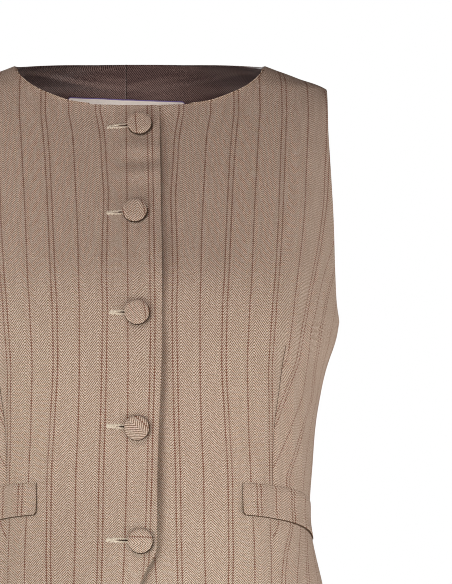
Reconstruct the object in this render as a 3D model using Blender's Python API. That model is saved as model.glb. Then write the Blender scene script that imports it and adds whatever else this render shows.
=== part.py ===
"""A collarless five-button suit waistcoat, worn on a general figure with no wearer shown.

Metres, +Z up. The front faces -Y, and +X is the wearer's left. The origin is midway between the
two shoulder seams, at the middle of their height, where the wearer's shoulders carry the garment.

The garment is drawn on one hollow form: a stack of horizontal sections, each an oval with its own
front and back depth. Every cut piece is a grid of points on that form, given a cloth thickness.
"""

import math
from collections import namedtuple

import bpy
import numpy as np
from mathutils import Vector

# ---------------------------------------------------------------- driving dimensions

CLOTH = 0.0018  # wool shell with its interlining
LINING = 0.0010
SEAM_GAP = 0.0003  # between pieces that are sewn together
LAYER_GAP = 0.0005  # between cloth that lies on cloth

NECK_POINT_X = 0.0999  # where the shoulder seam meets the neckline
NECK_POINT_Z = 0.0095
SHOULDER_TIP_Z = -0.0095
UNDERARM_Z = -0.1960
FRONT_NECK_DROP = 0.0343  # below the neck point, at the centre
FRONT_NECK_POWER = 2.15
BACK_NECK_RISE = 0.0061  # above the neck point, at the centre

SIDE_HEM_Z = -0.4250
BACK_HEM_Z = -0.4290
FRONT_POINT_Z = -0.4580

ARMHOLE_FRONT = 0.0405  # greatest depth of the armhole before and behind its seam plane
ARMHOLE_BACK = 0.0480
ARMHOLE_FULLNESS = 0.14  # how much wider its lower half is

FLAP_INNER_X = 0.0800
FLAP_TOP_Z = -0.3210
FLAP_HEIGHT = 0.0245
FLAP_CORNER = 0.0050
FLAP_SPREAD = 0.03  # how much it deepens along its length
FLAP_SLOPE = 0.05  # it falls towards the side seam, and ever faster
FLAP_BEND = 1.4
FLAP_CLOTH = 0.0014
FLAP_END_GAP = 0.0025  # from the flap's outer end to the side seam

BUTTON_RADIUS = 0.0093
BUTTON_HEIGHT = 0.0042
BUTTON_FOOT_RADIUS = 0.0035
BUTTON_FOOT_HEIGHT = 0.0010

LINING_SEAM_X = 0.0110  # the back lining's seam lies this far to the wearer's right
LABEL_WIDTH = 0.0970
LABEL_HEIGHT = 0.0420
LABEL_TOP_Z = -0.0126
LABEL_TILT = -0.025
LABEL_CLOTH = 0.0008

DART_GROOVE = 0.0012
DART_GROOVE_WIDTH = 0.0070

# One horizontal section of the form. Its depth at the share t of the half width is
# depth * (1 - t ** flat) ** (1 / full): flat across the middle as flat grows, full at the sides
# as full grows.
Section = namedtuple("Section", "z half_width front_depth front_flat front_full back_depth back_flat back_full")
SECTIONS = (
    Section(-0.480, 0.1580, 0.1130, 2.25, 2.25, 0.1060, 2.25, 2.25),
    Section(-0.440, 0.1520, 0.1100, 2.25, 2.25, 0.1000, 2.25, 2.25),
    Section(-0.405, 0.1463, 0.1062, 2.22, 2.22, 0.0930, 2.25, 2.25),
    Section(-0.374, 0.1392, 0.1025, 2.20, 2.20, 0.0865, 2.25, 2.25),
    Section(-0.350, 0.1355, 0.1005, 2.20, 2.20, 0.0838, 2.25, 2.25),
    Section(-0.330, 0.1362, 0.1000, 2.20, 2.20, 0.0830, 2.25, 2.25),
    Section(-0.313, 0.1376, 0.1013, 2.24, 2.18, 0.0845, 2.25, 2.25),
    Section(-0.276, 0.1406, 0.1080, 2.42, 2.02, 0.0920, 2.28, 2.28),
    Section(-0.251, 0.1450, 0.1130, 2.64, 1.86, 0.0978, 2.30, 2.30),
    Section(-0.230, 0.1500, 0.1153, 2.82, 1.74, 0.1020, 2.32, 2.32),
    Section(-0.212, 0.1564, 0.1161, 2.94, 1.66, 0.1050, 2.35, 2.35),
    Section(-0.200, 0.1588, 0.1158, 3.00, 1.63, 0.1062, 2.37, 2.37),
    Section(-0.186, 0.1605, 0.1149, 2.98, 1.66, 0.1074, 2.40, 2.40),
    Section(-0.174, 0.1615, 0.1135, 2.88, 1.74, 0.1078, 2.40, 2.40),
    Section(-0.162, 0.1625, 0.1108, 2.74, 1.86, 0.1080, 2.40, 2.40),
    Section(-0.150, 0.1632, 0.1062, 2.60, 2.00, 0.1078, 2.40, 2.40),
    Section(-0.132, 0.1640, 0.0972, 2.44, 2.16, 0.1070, 2.40, 2.40),
    Section(-0.103, 0.1650, 0.0822, 2.32, 2.28, 0.1035, 2.38, 2.38),
    Section(-0.065, 0.1650, 0.0618, 2.28, 2.28, 0.0945, 2.35, 2.35),
    Section(-0.039, 0.1630, 0.0470, 2.25, 2.25, 0.0875, 2.30, 2.30),
    Section(-0.024, 0.1600, 0.0385, 2.22, 2.22, 0.0825, 2.25, 2.25),
    Section(-0.0165, 0.1560, 0.0345, 2.20, 2.20, 0.0797, 2.22, 2.22),
    Section(-0.0095, 0.1498, 0.0308, 2.20, 2.20, 0.0770, 2.20, 2.20),
    Section(0.0000, 0.12485, 0.0260, 2.20, 2.20, 0.0735, 2.20, 2.20),
    Section(0.0095, 0.0999, 0.0215, 2.20, 2.20, 0.0700, 2.20, 2.20),
    Section(0.0180, 0.0780, 0.0180, 2.20, 2.20, 0.0670, 2.20, 2.20),
)

# How far the armhole's front and back edges stand from the centre.
ArmholeRow = namedtuple("ArmholeRow", "z front_x back_x")
ARMHOLE = (
    ArmholeRow(-0.1960, 0.1594, 0.1594),
    ArmholeRow(-0.1780, 0.1563, 0.1556),
    ArmholeRow(-0.1560, 0.1549, 0.1536),
    ArmholeRow(-0.1324, 0.1541, 0.1518),
    ArmholeRow(-0.1032, 0.1530, 0.1502),
    ArmholeRow(-0.0912, 0.1523, 0.1496),
    ArmholeRow(-0.0650, 0.1507, 0.1485),
    ArmholeRow(-0.0391, 0.1496, 0.1480),
    ArmholeRow(-0.0095, 0.1498, 0.1498),
)

# The front edge past the centre line, on the other half's side. Below the last button it runs
# away to the front point.
StandRow = namedtuple("StandRow", "z reach")
STAND = (
    StandRow(-0.4580, -0.0225),
    StandRow(-0.4260, -0.0106),
    StandRow(-0.3979, 0.0004),
    StandRow(-0.3917, 0.0031),
    StandRow(-0.3863, 0.0055),
    StandRow(-0.3825, 0.0082),
    StandRow(-0.3778, 0.0109),
    StandRow(-0.3722, 0.0127),
    StandRow(-0.3650, 0.0132),
    StandRow(-0.3200, 0.0134),
    StandRow(-0.2800, 0.0146),
    StandRow(-0.2400, 0.0162),
    StandRow(-0.2000, 0.0172),
    StandRow(-0.1400, 0.0170),
    StandRow(-0.0800, 0.0162),
    StandRow(-0.0200, 0.0156),
)

# Lengthwise guide lines of a front: through the neck point, and along the waist dart.
GuideRow = namedtuple("GuideRow", "z neck_line dart_line")
GUIDES = (
    GuideRow(-0.4600, 0.0850, 0.1060),
    GuideRow(-0.3990, 0.0835, 0.1049),
    GuideRow(-0.3237, 0.0830, 0.1050),
    GuideRow(-0.2987, 0.0835, 0.1054),
    GuideRow(-0.2738, 0.0845, 0.1066),
    GuideRow(-0.2504, 0.0865, 0.1095),
    GuideRow(-0.2123, 0.0890, 0.1137),
    GuideRow(-0.1300, 0.0930, 0.1165),
    GuideRow(-0.0500, 0.0975, 0.1180),
    GuideRow(0.0095, 0.0999, 0.1180),
)
DART_TIP_Z = -0.2123
DART_FADE = 0.020

# Grid steps: along the garment, and across each strip between the guide lines.
SKIRT_TOP_Z = -0.3450  # closer rows below this level
SKIRT_ROWS = 8
SIDE_ROWS = 18
ARMHOLE_ROWS = 15
FRONT_STRIPS = (10, 2, 7)
BACK_STRIPS = (1, 5, 6)

BUTTON_Z = (-0.0402, -0.1103, -0.1885, -0.2770, -0.3652)
BUTTON_X = (0.0004, -0.0040, -0.0022, -0.0024, 0.0004)

WOOL = (0.36, 0.27, 0.21)
LINING_BROWN = (0.07, 0.045, 0.04)
LABEL_CREAM = (0.75, 0.70, 0.66)


# ---------------------------------------------------------------- smooth tables

def eased(value, start, end):
    """0 before start, 1 after end, and smooth between."""
    u = np.clip((np.asarray(value, float) - start) / (end - start), 0, 1)
    return u * u * (3 - 2 * u)


def column(rows, name):
    return np.array([getattr(row, name) for row in rows])


def smooth_between(knots, values, at):
    """A monotone cubic through the table's values, so that no bump appears between its rows."""
    knots, values, at = map(np.asarray, (knots, values, at))
    steps = np.diff(knots)
    rates = np.diff(values) / steps
    slopes = np.zeros(len(knots))
    slopes[0], slopes[-1] = rates[0], rates[-1]
    same_way = rates[1:] * rates[:-1] > 0
    inner = np.where(same_way, 2 * rates[1:] * rates[:-1] / np.where(same_way, rates[1:] + rates[:-1], 1), 0)
    slopes[1:-1] = inner
    i = np.clip(np.searchsorted(knots, at) - 1, 0, len(steps) - 1)
    u = (at - knots[i]) / steps[i]
    return (
        values[i] * (1 + 2 * u) * (1 - u) ** 2
        + values[i + 1] * u * u * (3 - 2 * u)
        + steps[i] * (slopes[i] * u * (1 - u) ** 2 + slopes[i + 1] * u * u * (u - 1))
    )


SOFT_REACH = 0.010
SOFT_WEIGHTS = ((-1.0, 0.06), (-0.67, 0.13), (-0.33, 0.19), (0.0, 0.24), (0.33, 0.19), (0.67, 0.13), (1.0, 0.06))


def section(name, z):
    """A section's value at z, softened over a short height except near the shoulders."""
    z = np.asarray(z, float)
    reach = SOFT_REACH * eased(-z, 0.020, 0.070)
    z_rows, values = column(SECTIONS, "z"), column(SECTIONS, name)
    return sum(w * smooth_between(z_rows, values, z + k * reach) for k, w in SOFT_WEIGHTS)


# ---------------------------------------------------------------- the form

def armhole_reach(z, side):
    """How far the armhole's edge stands before or behind the seam plane at the height z."""
    middle, half = (UNDERARM_Z + SHOULDER_TIP_Z) / 2, (SHOULDER_TIP_Z - UNDERARM_Z) / 2
    rise = np.clip((np.asarray(z) - middle) / half, -1, 1)
    greatest = ARMHOLE_FRONT if side == "front" else ARMHOLE_BACK
    return greatest * np.sqrt(1 - rise**2) * (1 - ARMHOLE_FULLNESS * rise)


def half_width(z, side):
    """The form's half width: over the armhole, what brings its surface to the armhole's edge."""
    z = np.asarray(z, float)
    plain = section("half_width", z)
    inside = (z > UNDERARM_Z) & (z < SHOULDER_TIP_Z)
    edge = smooth_between(column(ARMHOLE, "z"), column(ARMHOLE, side + "_x"), np.clip(z, UNDERARM_Z, SHOULDER_TIP_Z))
    share = np.clip(armhole_reach(z, side) / section(side + "_depth", z), 0, 0.98)
    flat, full = section(side + "_flat", z), section(side + "_full", z)
    return np.where(inside, edge / (1 - share**full) ** (1 / flat), plain)


def depth_at(x, z, side):
    """How far the form lies before (side front) or behind (side back) the seam plane."""
    share = np.clip(np.abs(x) / half_width(z, side), 0, 1)
    flat, full = section(side + "_flat", z), section(side + "_full", z)
    return section(side + "_depth", z) * (1 - share**flat) ** (1 / full)


def on_form(x, z, side):
    y = depth_at(x, z, side) * (-1 if side == "front" else 1)
    return np.stack(np.broadcast_arrays(x, y, z), axis=-1)


def turn_of(x, z, side):
    """Where x lies round its section: 0 at the centre, a quarter turn at the side seam."""
    share = np.clip(np.abs(x) / half_width(z, side), 0, 1)
    return np.sign(x) * np.arcsin(share ** (section(side + "_flat", z) / 2))


def x_of_turn(turn, z, side):
    share = np.abs(np.sin(turn)) ** (2 / section(side + "_flat", z))
    return np.sign(turn) * half_width(z, side) * share


def shoulder_z(x):
    """Height of the shoulder seam at x: the level whose section is just that wide."""
    levels = np.linspace(SHOULDER_TIP_Z - 0.002, NECK_POINT_Z + 0.002, 200)
    widths = section("half_width", levels)
    return np.interp(x, widths[::-1], levels[::-1])


SHOULDER_TIP_X = float(section("half_width", SHOULDER_TIP_Z))


def neckline_z(x, side):
    share = np.clip(np.abs(x) / NECK_POINT_X, 0, 1)
    if side == "front":
        return NECK_POINT_Z - FRONT_NECK_DROP * (1 - share**FRONT_NECK_POWER) ** (1 / FRONT_NECK_POWER)
    return NECK_POINT_Z + BACK_NECK_RISE * (1 - share**2)


def top_z(x, side):
    return np.where(np.abs(x) < NECK_POINT_X, neckline_z(x, side), shoulder_z(np.abs(x)))


def outer_edge(side):
    """Rows up the side seam and round the armhole to the shoulder tip: heights and x."""
    skirt = np.linspace(SIDE_HEM_Z, SKIRT_TOP_Z, SKIRT_ROWS + 1)
    body = np.linspace(SKIRT_TOP_Z, UNDERARM_Z, SIDE_ROWS - SKIRT_ROWS + 1)[1:]
    seam_z = np.append(skirt, body)
    rise = np.linspace(0, 1, ARMHOLE_ROWS + 1)[1:]
    even = 0.4 * (1 - rise) ** 1.5
    rise = even * rise + (1 - even) * (1 - np.cos(math.pi * rise)) / 2
    hole_z = UNDERARM_Z + (SHOULDER_TIP_Z - UNDERARM_Z) * rise
    hole_x = smooth_between(column(ARMHOLE, "z"), column(ARMHOLE, side + "_x"), hole_z)
    return np.append(seam_z, hole_z), np.append(half_width(seam_z, side), hole_x)


def front_edge_x(z):
    """The front edge: past the centre down to the last button, then away to the front point."""
    return -smooth_between(column(STAND, "z"), column(STAND, "reach"), np.maximum(z, STAND[0].z))


def neck_line_x(z):
    return smooth_between(column(GUIDES, "z"), column(GUIDES, "neck_line"), z)


def dart_line_x(z):
    return smooth_between(column(GUIDES, "z"), column(GUIDES, "dart_line"), z)


def centre_back_x(z):
    return SEAM_GAP / 2 + 0 * np.asarray(z)


def lining_seam_x(z):
    return LINING_SEAM_X + 0 * np.asarray(z)


FRONT_LINES = (front_edge_x, neck_line_x, dart_line_x)
BACK_LINES = (centre_back_x, lining_seam_x, neck_line_x)


# ---------------------------------------------------------------- the cut pieces' grids

def strip_places(strips):
    """For each grid column, the strip that it lies in and its share of the way across."""
    places = [(k, i / n) for k, n in enumerate(strips) for i in range(n)]
    return places + [(len(strips) - 1, 1.0)]


def half_grid(side, strips, lines_in, point_z):
    """Points of one half (x to its own side), rows from the hem up, columns from the centre out.

    lines_in are functions that give x from z: the centre edge, then the guide lines in order.
    The columns run between them and the outer edge. point_z is the hem's height at the centre.
    """
    edge_z, edge_x = outer_edge(side)
    rows = len(edge_z)
    rise = np.linspace(0, 1, rows)
    hem_share = (1 - np.clip(rise / 0.45, 0, 1)) ** 2
    top_share = 1 - (1 - np.clip((rise - 0.5) / 0.5, 0, 1)) ** 2
    straight = eased(rise, 0.72, 1.0)

    top_ends = [float(line(NECK_POINT_Z)) for line in lines_in] + [SHOULDER_TIP_X]
    points = np.zeros((rows, sum(strips) + 1, 3))
    for i, (strip, share) in enumerate(strip_places(strips)):
        top_x = top_ends[strip] * (1 - share) + top_ends[strip + 1] * share
        across = i / sum(strips)
        hem_z = point_z + (SIDE_HEM_Z - point_z) * across
        z = (
            edge_z
            + (hem_z - SIDE_HEM_Z) * hem_share
            + (float(top_z(top_x, side)) - SHOULDER_TIP_Z) * top_share
        )
        lines = [line(z) for line in lines_in]
        turns = [turn_of(line, z, side) for line in lines] + [turn_of(edge_x, edge_z, side)]
        lines.append(edge_x)
        turn = turns[strip] * (1 - share) + turns[strip + 1] * share
        flat_x = lines[strip] * (1 - share) + lines[strip + 1] * share
        x = x_of_turn(turn, z, side) * (1 - straight) + flat_x * straight
        x[-1] = top_x
        points[:, i] = on_form(x, z, side)
        if top_x > NECK_POINT_X - 1e-5:
            points[-1, i, 1] = 0
    points[: SIDE_ROWS + 1, -1, 1] = 0
    return points


def outward_normals(points):
    """Unit normals of a grid. On the side and shoulder seams they lie in the seam plane."""
    normals = np.cross(np.gradient(points, axis=1), np.gradient(points, axis=0))
    from_axis = points * np.array([1.0, 1.0, 0.0])
    normals *= np.sign(np.median((from_axis * normals).sum(axis=-1)))
    normals[np.abs(points[..., 1]) < 1e-6, 1] = 0
    return normals / np.linalg.norm(normals, axis=-1, keepdims=True)


def mirrored(grid):
    """The same points or normals for the wearer's right, its columns still from the centre out."""
    return grid * np.array([-1.0, 1.0, 1.0])


def front_relief(points, lift):
    """How far the cloth of a front lies off the form: its overlap lift, and its dart groove."""
    x, z = points[..., 0], points[..., 2]
    overlap = 1 - eased(x, 0.018, 0.046)
    off_dart = (x - dart_line_x(z)) / DART_GROOVE_WIDTH
    below_tip = eased(-z, -DART_TIP_Z, -DART_TIP_Z + DART_FADE)
    return lift * overlap - DART_GROOVE * np.exp(-(off_dart**2)) * below_tip


# ---------------------------------------------------------------- solids

def grid_solid(name, outer, inner, material):
    """A closed wall between two grids of the same shape, every cell cut on the same diagonal."""
    rows, columns = outer.shape[:2]
    points = np.concatenate([outer.reshape(-1, 3), inner.reshape(-1, 3)])
    layer = rows * columns

    def at(row, col, level):
        return level * layer + row * columns + col

    faces = []
    for row in range(rows - 1):
        for col in range(columns - 1):
            low, right, far, left = (row, col), (row, col + 1), (row + 1, col + 1), (row + 1, col)
            for corners in ((low, right, far), (low, far, left)):
                faces.append([at(r, c, 0) for r, c in corners])
                faces.append([at(r, c, 1) for r, c in reversed(corners)])
    border = [(0, c) for c in range(columns)]
    border += [(r, columns - 1) for r in range(1, rows)]
    border += [(rows - 1, c) for c in range(columns - 2, -1, -1)]
    border += [(r, 0) for r in range(rows - 2, 0, -1)]
    for (r0, c0), (r1, c1) in zip(border, border[1:] + border[:1]):
        faces.append([at(r0, c0, 0), at(r0, c0, 1), at(r1, c1, 1), at(r1, c1, 0)])

    mesh = bpy.data.meshes.new(name)
    mesh.from_pydata([tuple(p) for p in points], [], faces)
    mesh.materials.append(material)
    corners = points[faces[0]]
    facing = np.cross(corners[1] - corners[0], corners[2] - corners[0])
    if facing @ (outer[0, 0] - inner[0, 0]) < 0:
        mesh.flip_normals()
    mesh.shade_smooth()
    mesh.set_sharp_from_angle(angle=math.radians(40))
    solid = bpy.data.objects.new(name, mesh)
    bpy.context.scene.collection.objects.link(solid)
    return solid


def material_of(name, colour, roughness):
    made = bpy.data.materials.new(name)
    made.use_nodes = True
    shader = made.node_tree.nodes["Principled BSDF"]
    shader.inputs["Base Color"].default_value = (*colour, 1)
    shader.inputs["Roughness"].default_value = roughness
    shader.inputs["Metallic"].default_value = 0
    return made


def half(side, strips, lines_in, point_z, mirror=False):
    """A half's points, half a seam gap off the seam plane, and its outward normals."""
    points = half_grid(side, strips, lines_in, point_z)
    normals = outward_normals(points)
    points = points + np.array([0.0, SEAM_GAP / 2 * (-1 if side == "front" else 1), 0.0])
    return (mirrored(points), mirrored(normals)) if mirror else (points, normals)


def front_half(mirror, lift):
    """One front's outer face and its normals."""
    points, normals = half("front", FRONT_STRIPS, FRONT_LINES, FRONT_POINT_Z)
    points = points + normals * front_relief(points, lift)[..., None]
    return (mirrored(points), mirrored(normals)) if mirror else (points, normals)


def back_half(mirror):
    return half("back", BACK_STRIPS, BACK_LINES, BACK_HEM_Z, mirror)


def build_fronts(wool):
    """The wearer's right front, with the buttonholes, laps over the left one."""
    layer_lift = (CLOTH + LAYER_GAP) / 2
    for name, mirror, lift in (("front_right", True, layer_lift), ("front_left", False, -layer_lift)):
        points, normals = front_half(mirror, lift)
        grid_solid(name, points, points - normals * CLOTH, wool)


def build_backs(wool):
    for name, mirror in (("back_right", True), ("back_left", False)):
        points, normals = back_half(mirror)
        grid_solid(name, points, points - normals * CLOTH, wool)


def build_linings(brown):
    """The back lining: the backs' own points moved in, from the neck to a row above the hem."""
    left, left_normals = back_half(False)
    right, right_normals = back_half(True)
    seam = BACK_STRIPS[0]
    over = range(seam, -1, -1)
    wide = np.concatenate([right[:, over], left], axis=1)
    wide_normals = np.concatenate([right_normals[:, over], left_normals], axis=1)
    for name, points, normals in (
        ("lining_right", right[:, seam:], right_normals[:, seam:]),
        ("lining_left", wide, wide_normals),
    ):
        points, normals = points[1:].copy(), normals[1:]
        width = np.linalg.norm(points[:, 1] - points[:, 0], axis=-1, keepdims=True)
        points[:, 0] += (points[:, 1] - points[:, 0]) * (SEAM_GAP / 2) / width
        outer = points - normals * (CLOTH + LAYER_GAP)
        grid_solid(name, outer, outer - normals * LINING, brown)


def build_label(cream):
    """A plain woven label at the back neck, on the lining, centred on its seam."""
    across = np.linspace(-0.5, 0.5, 11) * LABEL_WIDTH
    down = np.linspace(1, 0, 5) * LABEL_HEIGHT
    x = across[None, :] - LINING_SEAM_X + 0 * down[:, None]
    z = LABEL_TOP_Z + LABEL_TILT * across[None, :] - down[:, None]
    points = on_form(x, z, "back")
    normals = outward_normals(points)
    outer = points - normals * (CLOTH + LINING + 2 * LAYER_GAP)
    grid_solid("label", outer, outer - normals * LABEL_CLOTH, cream)


def at_height(column_points, column_normals, z):
    """A grid column's points and normals at the heights z."""
    heights = column_points[:, 2]
    place, facing = (
        np.stack([np.interp(z, heights, values[:, k]) for k in range(3)], axis=-1)
        for values in (column_points, column_normals)
    )
    return place, facing


def flap_faces(mirror):
    """A pocket flap: the front's own columns from its inner end to the side seam, moved out."""
    points, normals = front_half(False, 0.0)
    first = FRONT_STRIPS[0] - 1
    lines = [(points[:, col], normals[:, col]) for col in range(first, points.shape[1])]
    middle = np.array([at_height(*line, FLAP_TOP_Z - FLAP_HEIGHT / 2)[0] for line in lines])
    arcs = np.append(0, np.cumsum(np.linalg.norm(np.diff(middle, axis=0), axis=1)))
    start = float(np.interp(FLAP_INNER_X, middle[:, 0], arcs))
    end = arcs[-1] - FLAP_END_GAP
    inside = [arc for arc in arcs if start + 0.004 < arc < end - 0.004]
    stations = np.array([start, start + 0.0018, *inside, end - 0.0018, end])

    shares = np.linspace(0, 1, 5)
    outer = np.zeros((len(shares), len(stations), 3))
    inner = np.zeros_like(outer)
    for k, arc in enumerate(stations):
        low = min(int(np.searchsorted(arcs, arc, side="right")) - 1, len(lines) - 2)
        mix = (arc - arcs[low]) / (arcs[low + 1] - arcs[low])
        run = arc - start
        corner = FLAP_CORNER - min(run, end - arc)
        rounded = FLAP_CORNER - math.sqrt(FLAP_CORNER**2 - corner**2) if corner > 0 else 0.0
        top = FLAP_TOP_Z - FLAP_SLOPE * run - FLAP_BEND * run**2
        z = top - (FLAP_HEIGHT + FLAP_SPREAD * run - rounded) * (1 - shares)
        near, far = at_height(*lines[low], z), at_height(*lines[low + 1], z)
        place, facing = (a * (1 - mix) + b * mix for a, b in zip(near, far))
        facing /= np.linalg.norm(facing, axis=-1, keepdims=True)
        inner[:, k] = place + facing * LAYER_GAP
        outer[:, k] = inner[:, k] + facing * FLAP_CLOTH
    return (mirrored(outer), mirrored(inner)) if mirror else (outer, inner)


def build_flaps(wool):
    for name, mirror in (("flap_right", True), ("flap_left", False)):
        grid_solid(name, *flap_faces(mirror), wool)


def build_buttons(wool):
    """Cloth-covered domed buttons on a short foot, each square to the front that it closes."""
    lift = (CLOTH + LAYER_GAP) / 2 + SEAM_GAP
    turns, rim_steps = 24, 5
    profile = [(0.0, 0.0), (BUTTON_FOOT_RADIUS, 0.0), (BUTTON_FOOT_RADIUS, BUTTON_FOOT_HEIGHT)]
    dome = BUTTON_HEIGHT - BUTTON_FOOT_HEIGHT
    for k in range(rim_steps + 1):
        angle = math.radians(-40 + 130 * k / rim_steps)
        swell = math.cos(angle) ** 0.5 if k < rim_steps else 0.0
        height = BUTTON_FOOT_HEIGHT + dome * (math.sin(angle) + 0.643) / 1.643
        profile.append((BUTTON_RADIUS * swell, height))
    for number, (x, z) in enumerate(zip(BUTTON_X, BUTTON_Z), start=1):
        centre, dx, dz = (on_form(np.array(x + a), np.array(z + b), "front") for a, b in
                          ((0, 0), (0.004, 0), (0, 0.004)))
        normal = Vector(np.cross(dx - centre, dz - centre)).normalized()
        verts, faces, rings = [], [], []
        for radius, height in profile:
            if radius < 1e-9:
                rings.append([len(verts)] * turns)
                verts.append((0, 0, height))
                continue
            rings.append(list(range(len(verts), len(verts) + turns)))
            verts += [
                (radius * math.cos(2 * math.pi * t / turns), radius * math.sin(2 * math.pi * t / turns), height)
                for t in range(turns)
            ]
        for low, high in zip(rings, rings[1:]):
            for t in range(turns):
                corners = [low[t], low[(t + 1) % turns], high[(t + 1) % turns], high[t]]
                faces.append(list(dict.fromkeys(corners)))
        mesh = bpy.data.meshes.new(f"button_{number}")
        mesh.from_pydata(verts, [], faces)
        mesh.materials.append(wool)
        mesh.shade_smooth()
        mesh.set_sharp_from_angle(angle=math.radians(50))
        button = bpy.data.objects.new(f"button_{number}", mesh)
        bpy.context.scene.collection.objects.link(button)
        button.location = Vector(centre) + normal * lift
        button.rotation_mode = "QUATERNION"
        button.rotation_quaternion = normal.to_track_quat("Z", "Y")


def main():
    for existing in list(bpy.data.objects):
        bpy.data.objects.remove(existing)
    wool = material_of("wool", WOOL, 0.85)
    brown = material_of("lining", LINING_BROWN, 0.45)
    cream = material_of("label", LABEL_CREAM, 0.6)
    build_fronts(wool)
    build_backs(wool)
    build_linings(brown)
    build_label(cream)
    build_flaps(wool)
    build_buttons(wool)


main()
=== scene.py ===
"""Looks of the suit waistcoat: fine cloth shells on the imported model's own form, buttons,
buttonholes and stitching, woven materials, plain soft studio light and the photograph's camera.

Metres, +Z up. The front faces -Y, and +X is the wearer's left.
"""

import math
from collections import namedtuple
from functools import lru_cache, partial, partialmethod

import bmesh
import bpy
import numpy as np
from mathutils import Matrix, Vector


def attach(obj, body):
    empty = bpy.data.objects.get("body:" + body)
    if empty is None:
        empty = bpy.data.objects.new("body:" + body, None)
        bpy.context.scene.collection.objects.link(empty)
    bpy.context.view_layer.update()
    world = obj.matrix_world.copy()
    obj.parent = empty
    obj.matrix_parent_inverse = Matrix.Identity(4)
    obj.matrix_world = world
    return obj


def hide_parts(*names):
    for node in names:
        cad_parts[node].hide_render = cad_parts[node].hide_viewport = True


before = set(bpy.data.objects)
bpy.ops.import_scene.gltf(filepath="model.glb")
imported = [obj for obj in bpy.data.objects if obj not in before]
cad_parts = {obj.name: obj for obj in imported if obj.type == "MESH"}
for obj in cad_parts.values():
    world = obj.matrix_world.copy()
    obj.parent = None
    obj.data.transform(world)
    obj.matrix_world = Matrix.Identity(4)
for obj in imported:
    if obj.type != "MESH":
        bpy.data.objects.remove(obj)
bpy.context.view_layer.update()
scene = bpy.context.scene

# ---------------------------------------------------------------- sizes, as in the CAD source

CLOTH, LINING = 0.0018, 0.0010
SEAM_GAP, LAYER_GAP = 0.0003, 0.0005
LAYER_LIFT = (CLOTH + LAYER_GAP) / 2  # of the upper front off the form; the under front sinks as far

NECK_POINT_X, NECK_POINT_Z = 0.0999, 0.0095
SHOULDER_TIP_Z, UNDERARM_Z, WAIST_Z = -0.0095, -0.1960, -0.3300
FRONT_NECK_DROP, BACK_NECK_RISE, BACK_NECK_POWER = 0.0343, 0.0061, 3.5
SIDE_HEM_Z = -0.4250
HEM_Z = {"front": -0.4580, "back": -0.4290}  # at the front point and at the centre back
ARMHOLE_DEPTH = {"front": 0.0405, "back": 0.0480}
ARMHOLE_FULLNESS = 0.14

FLAP_INNER_X, FLAP_TOP_Z, FLAP_HEIGHT = 0.0800, -0.3210, 0.0245
FLAP_CORNER, FLAP_CLOTH, FLAP_END_GAP = 0.0030, 0.0014, 0.0025
FLAP_SPREAD, FLAP_SLOPE, FLAP_BEND = 0.03, 0.05, 1.4
FLAP_GRAIN = 1.3  # the stripe coordinate at a flap's inner end

BUTTON_RADIUS, BUTTON_HEIGHT = 0.0096, 0.0046
BUTTON_FOOT_RADIUS, BUTTON_FOOT_HEIGHT = 0.0035, 0.0010
BUTTON_Z = (-0.0402, -0.1103, -0.1885, -0.2770, -0.3652)
BUTTON_X = (-0.0004, -0.0040, -0.0022, -0.0024, 0.0004)

LINING_SEAM_X = 0.0110
LABEL_WIDTH, LABEL_HEIGHT, LABEL_TOP_Z = 0.0970, 0.0420, -0.0104
LABEL_TILT, LABEL_CORNER, LABEL_CLOTH = -0.035, 0.0024, 0.0008

DART_GROOVE, DART_GROOVE_WIDTH = 0.0012, 0.0070
DART_TIP_Z, DART_FADE = -0.2123, 0.020


def table(names, *rows, plain=""):
    """Columns by name: millimetres, brought to metres, and plain numbers. None becomes NaN."""
    columns = zip(names.split(), np.array(rows, float).T)
    return {name: values / (1 if name in plain.split() else 1000) for name, values in columns}


SECTIONS = table(
    "z half_width front_depth front_flat front_full back_depth back_flat",
    (-480, 158, 113, 2.25, 2.25, 106, 2.25),
    (-440, 152, 110, 2.25, 2.25, 100, 2.25),
    (-405, 146.3, 106.2, 2.22, 2.22, 93, 2.25),
    (-374, 139.2, 102.5, 2.2, 2.2, 86.5, 2.25),
    (-350, 135.5, 100.5, 2.2, 2.2, 83.8, 2.25),
    (-330, 136.2, 100, 2.2, 2.2, 83, 2.25),
    (-313, 137.6, 101.3, 2.24, 2.18, 84.5, 2.25),
    (-276, 140.6, 108, 2.42, 2.02, 92, 2.28),
    (-251, 145, 113, 2.64, 1.86, 97.8, 2.3),
    (-230, 150, 115.3, 2.82, 1.74, 102, 2.32),
    (-212, 156.4, 116.1, 2.94, 1.66, 105, 2.35),
    (-200, 158.8, 115.8, 3, 1.63, 106.2, 2.37),
    (-186, 160.5, 114.9, 2.98, 1.66, 107.4, 2.4),
    (-174, 161.5, 113.5, 2.88, 1.74, 107.8, 2.4),
    (-162, 162.5, 110.8, 2.74, 1.86, 108, 2.4),
    (-150, 163.2, 106.2, 2.6, 2, 107.8, 2.4),
    (-132, 164, 97.2, 2.44, 2.16, 107, 2.4),
    (-103, 165, 82.2, 2.32, 2.28, 103.5, 2.38),
    (-65, 165, 61.8, 2.28, 2.28, 94.5, 2.35),
    (-39, 163, 47, 2.25, 2.25, 87.5, 2.3),
    (-24, 160, 38.5, 2.22, 2.22, 82.5, 2.25),
    (-16.5, 156, 34.5, 2.2, 2.2, 79.7, 2.22),
    (-9.5, 149.8, 30.8, 2.2, 2.2, 77, 2.2),
    (0, 124.85, 26, 2.2, 2.2, 73.5, 2.2),
    (9.5, 99.9, 21.5, 2.2, 2.2, 70, 2.2),
    (18, 78, 18, 2.2, 2.2, 67, 2.2),
    plain="front_flat front_full back_flat",
)
SECTIONS["back_full"] = SECTIONS["back_flat"]
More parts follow.
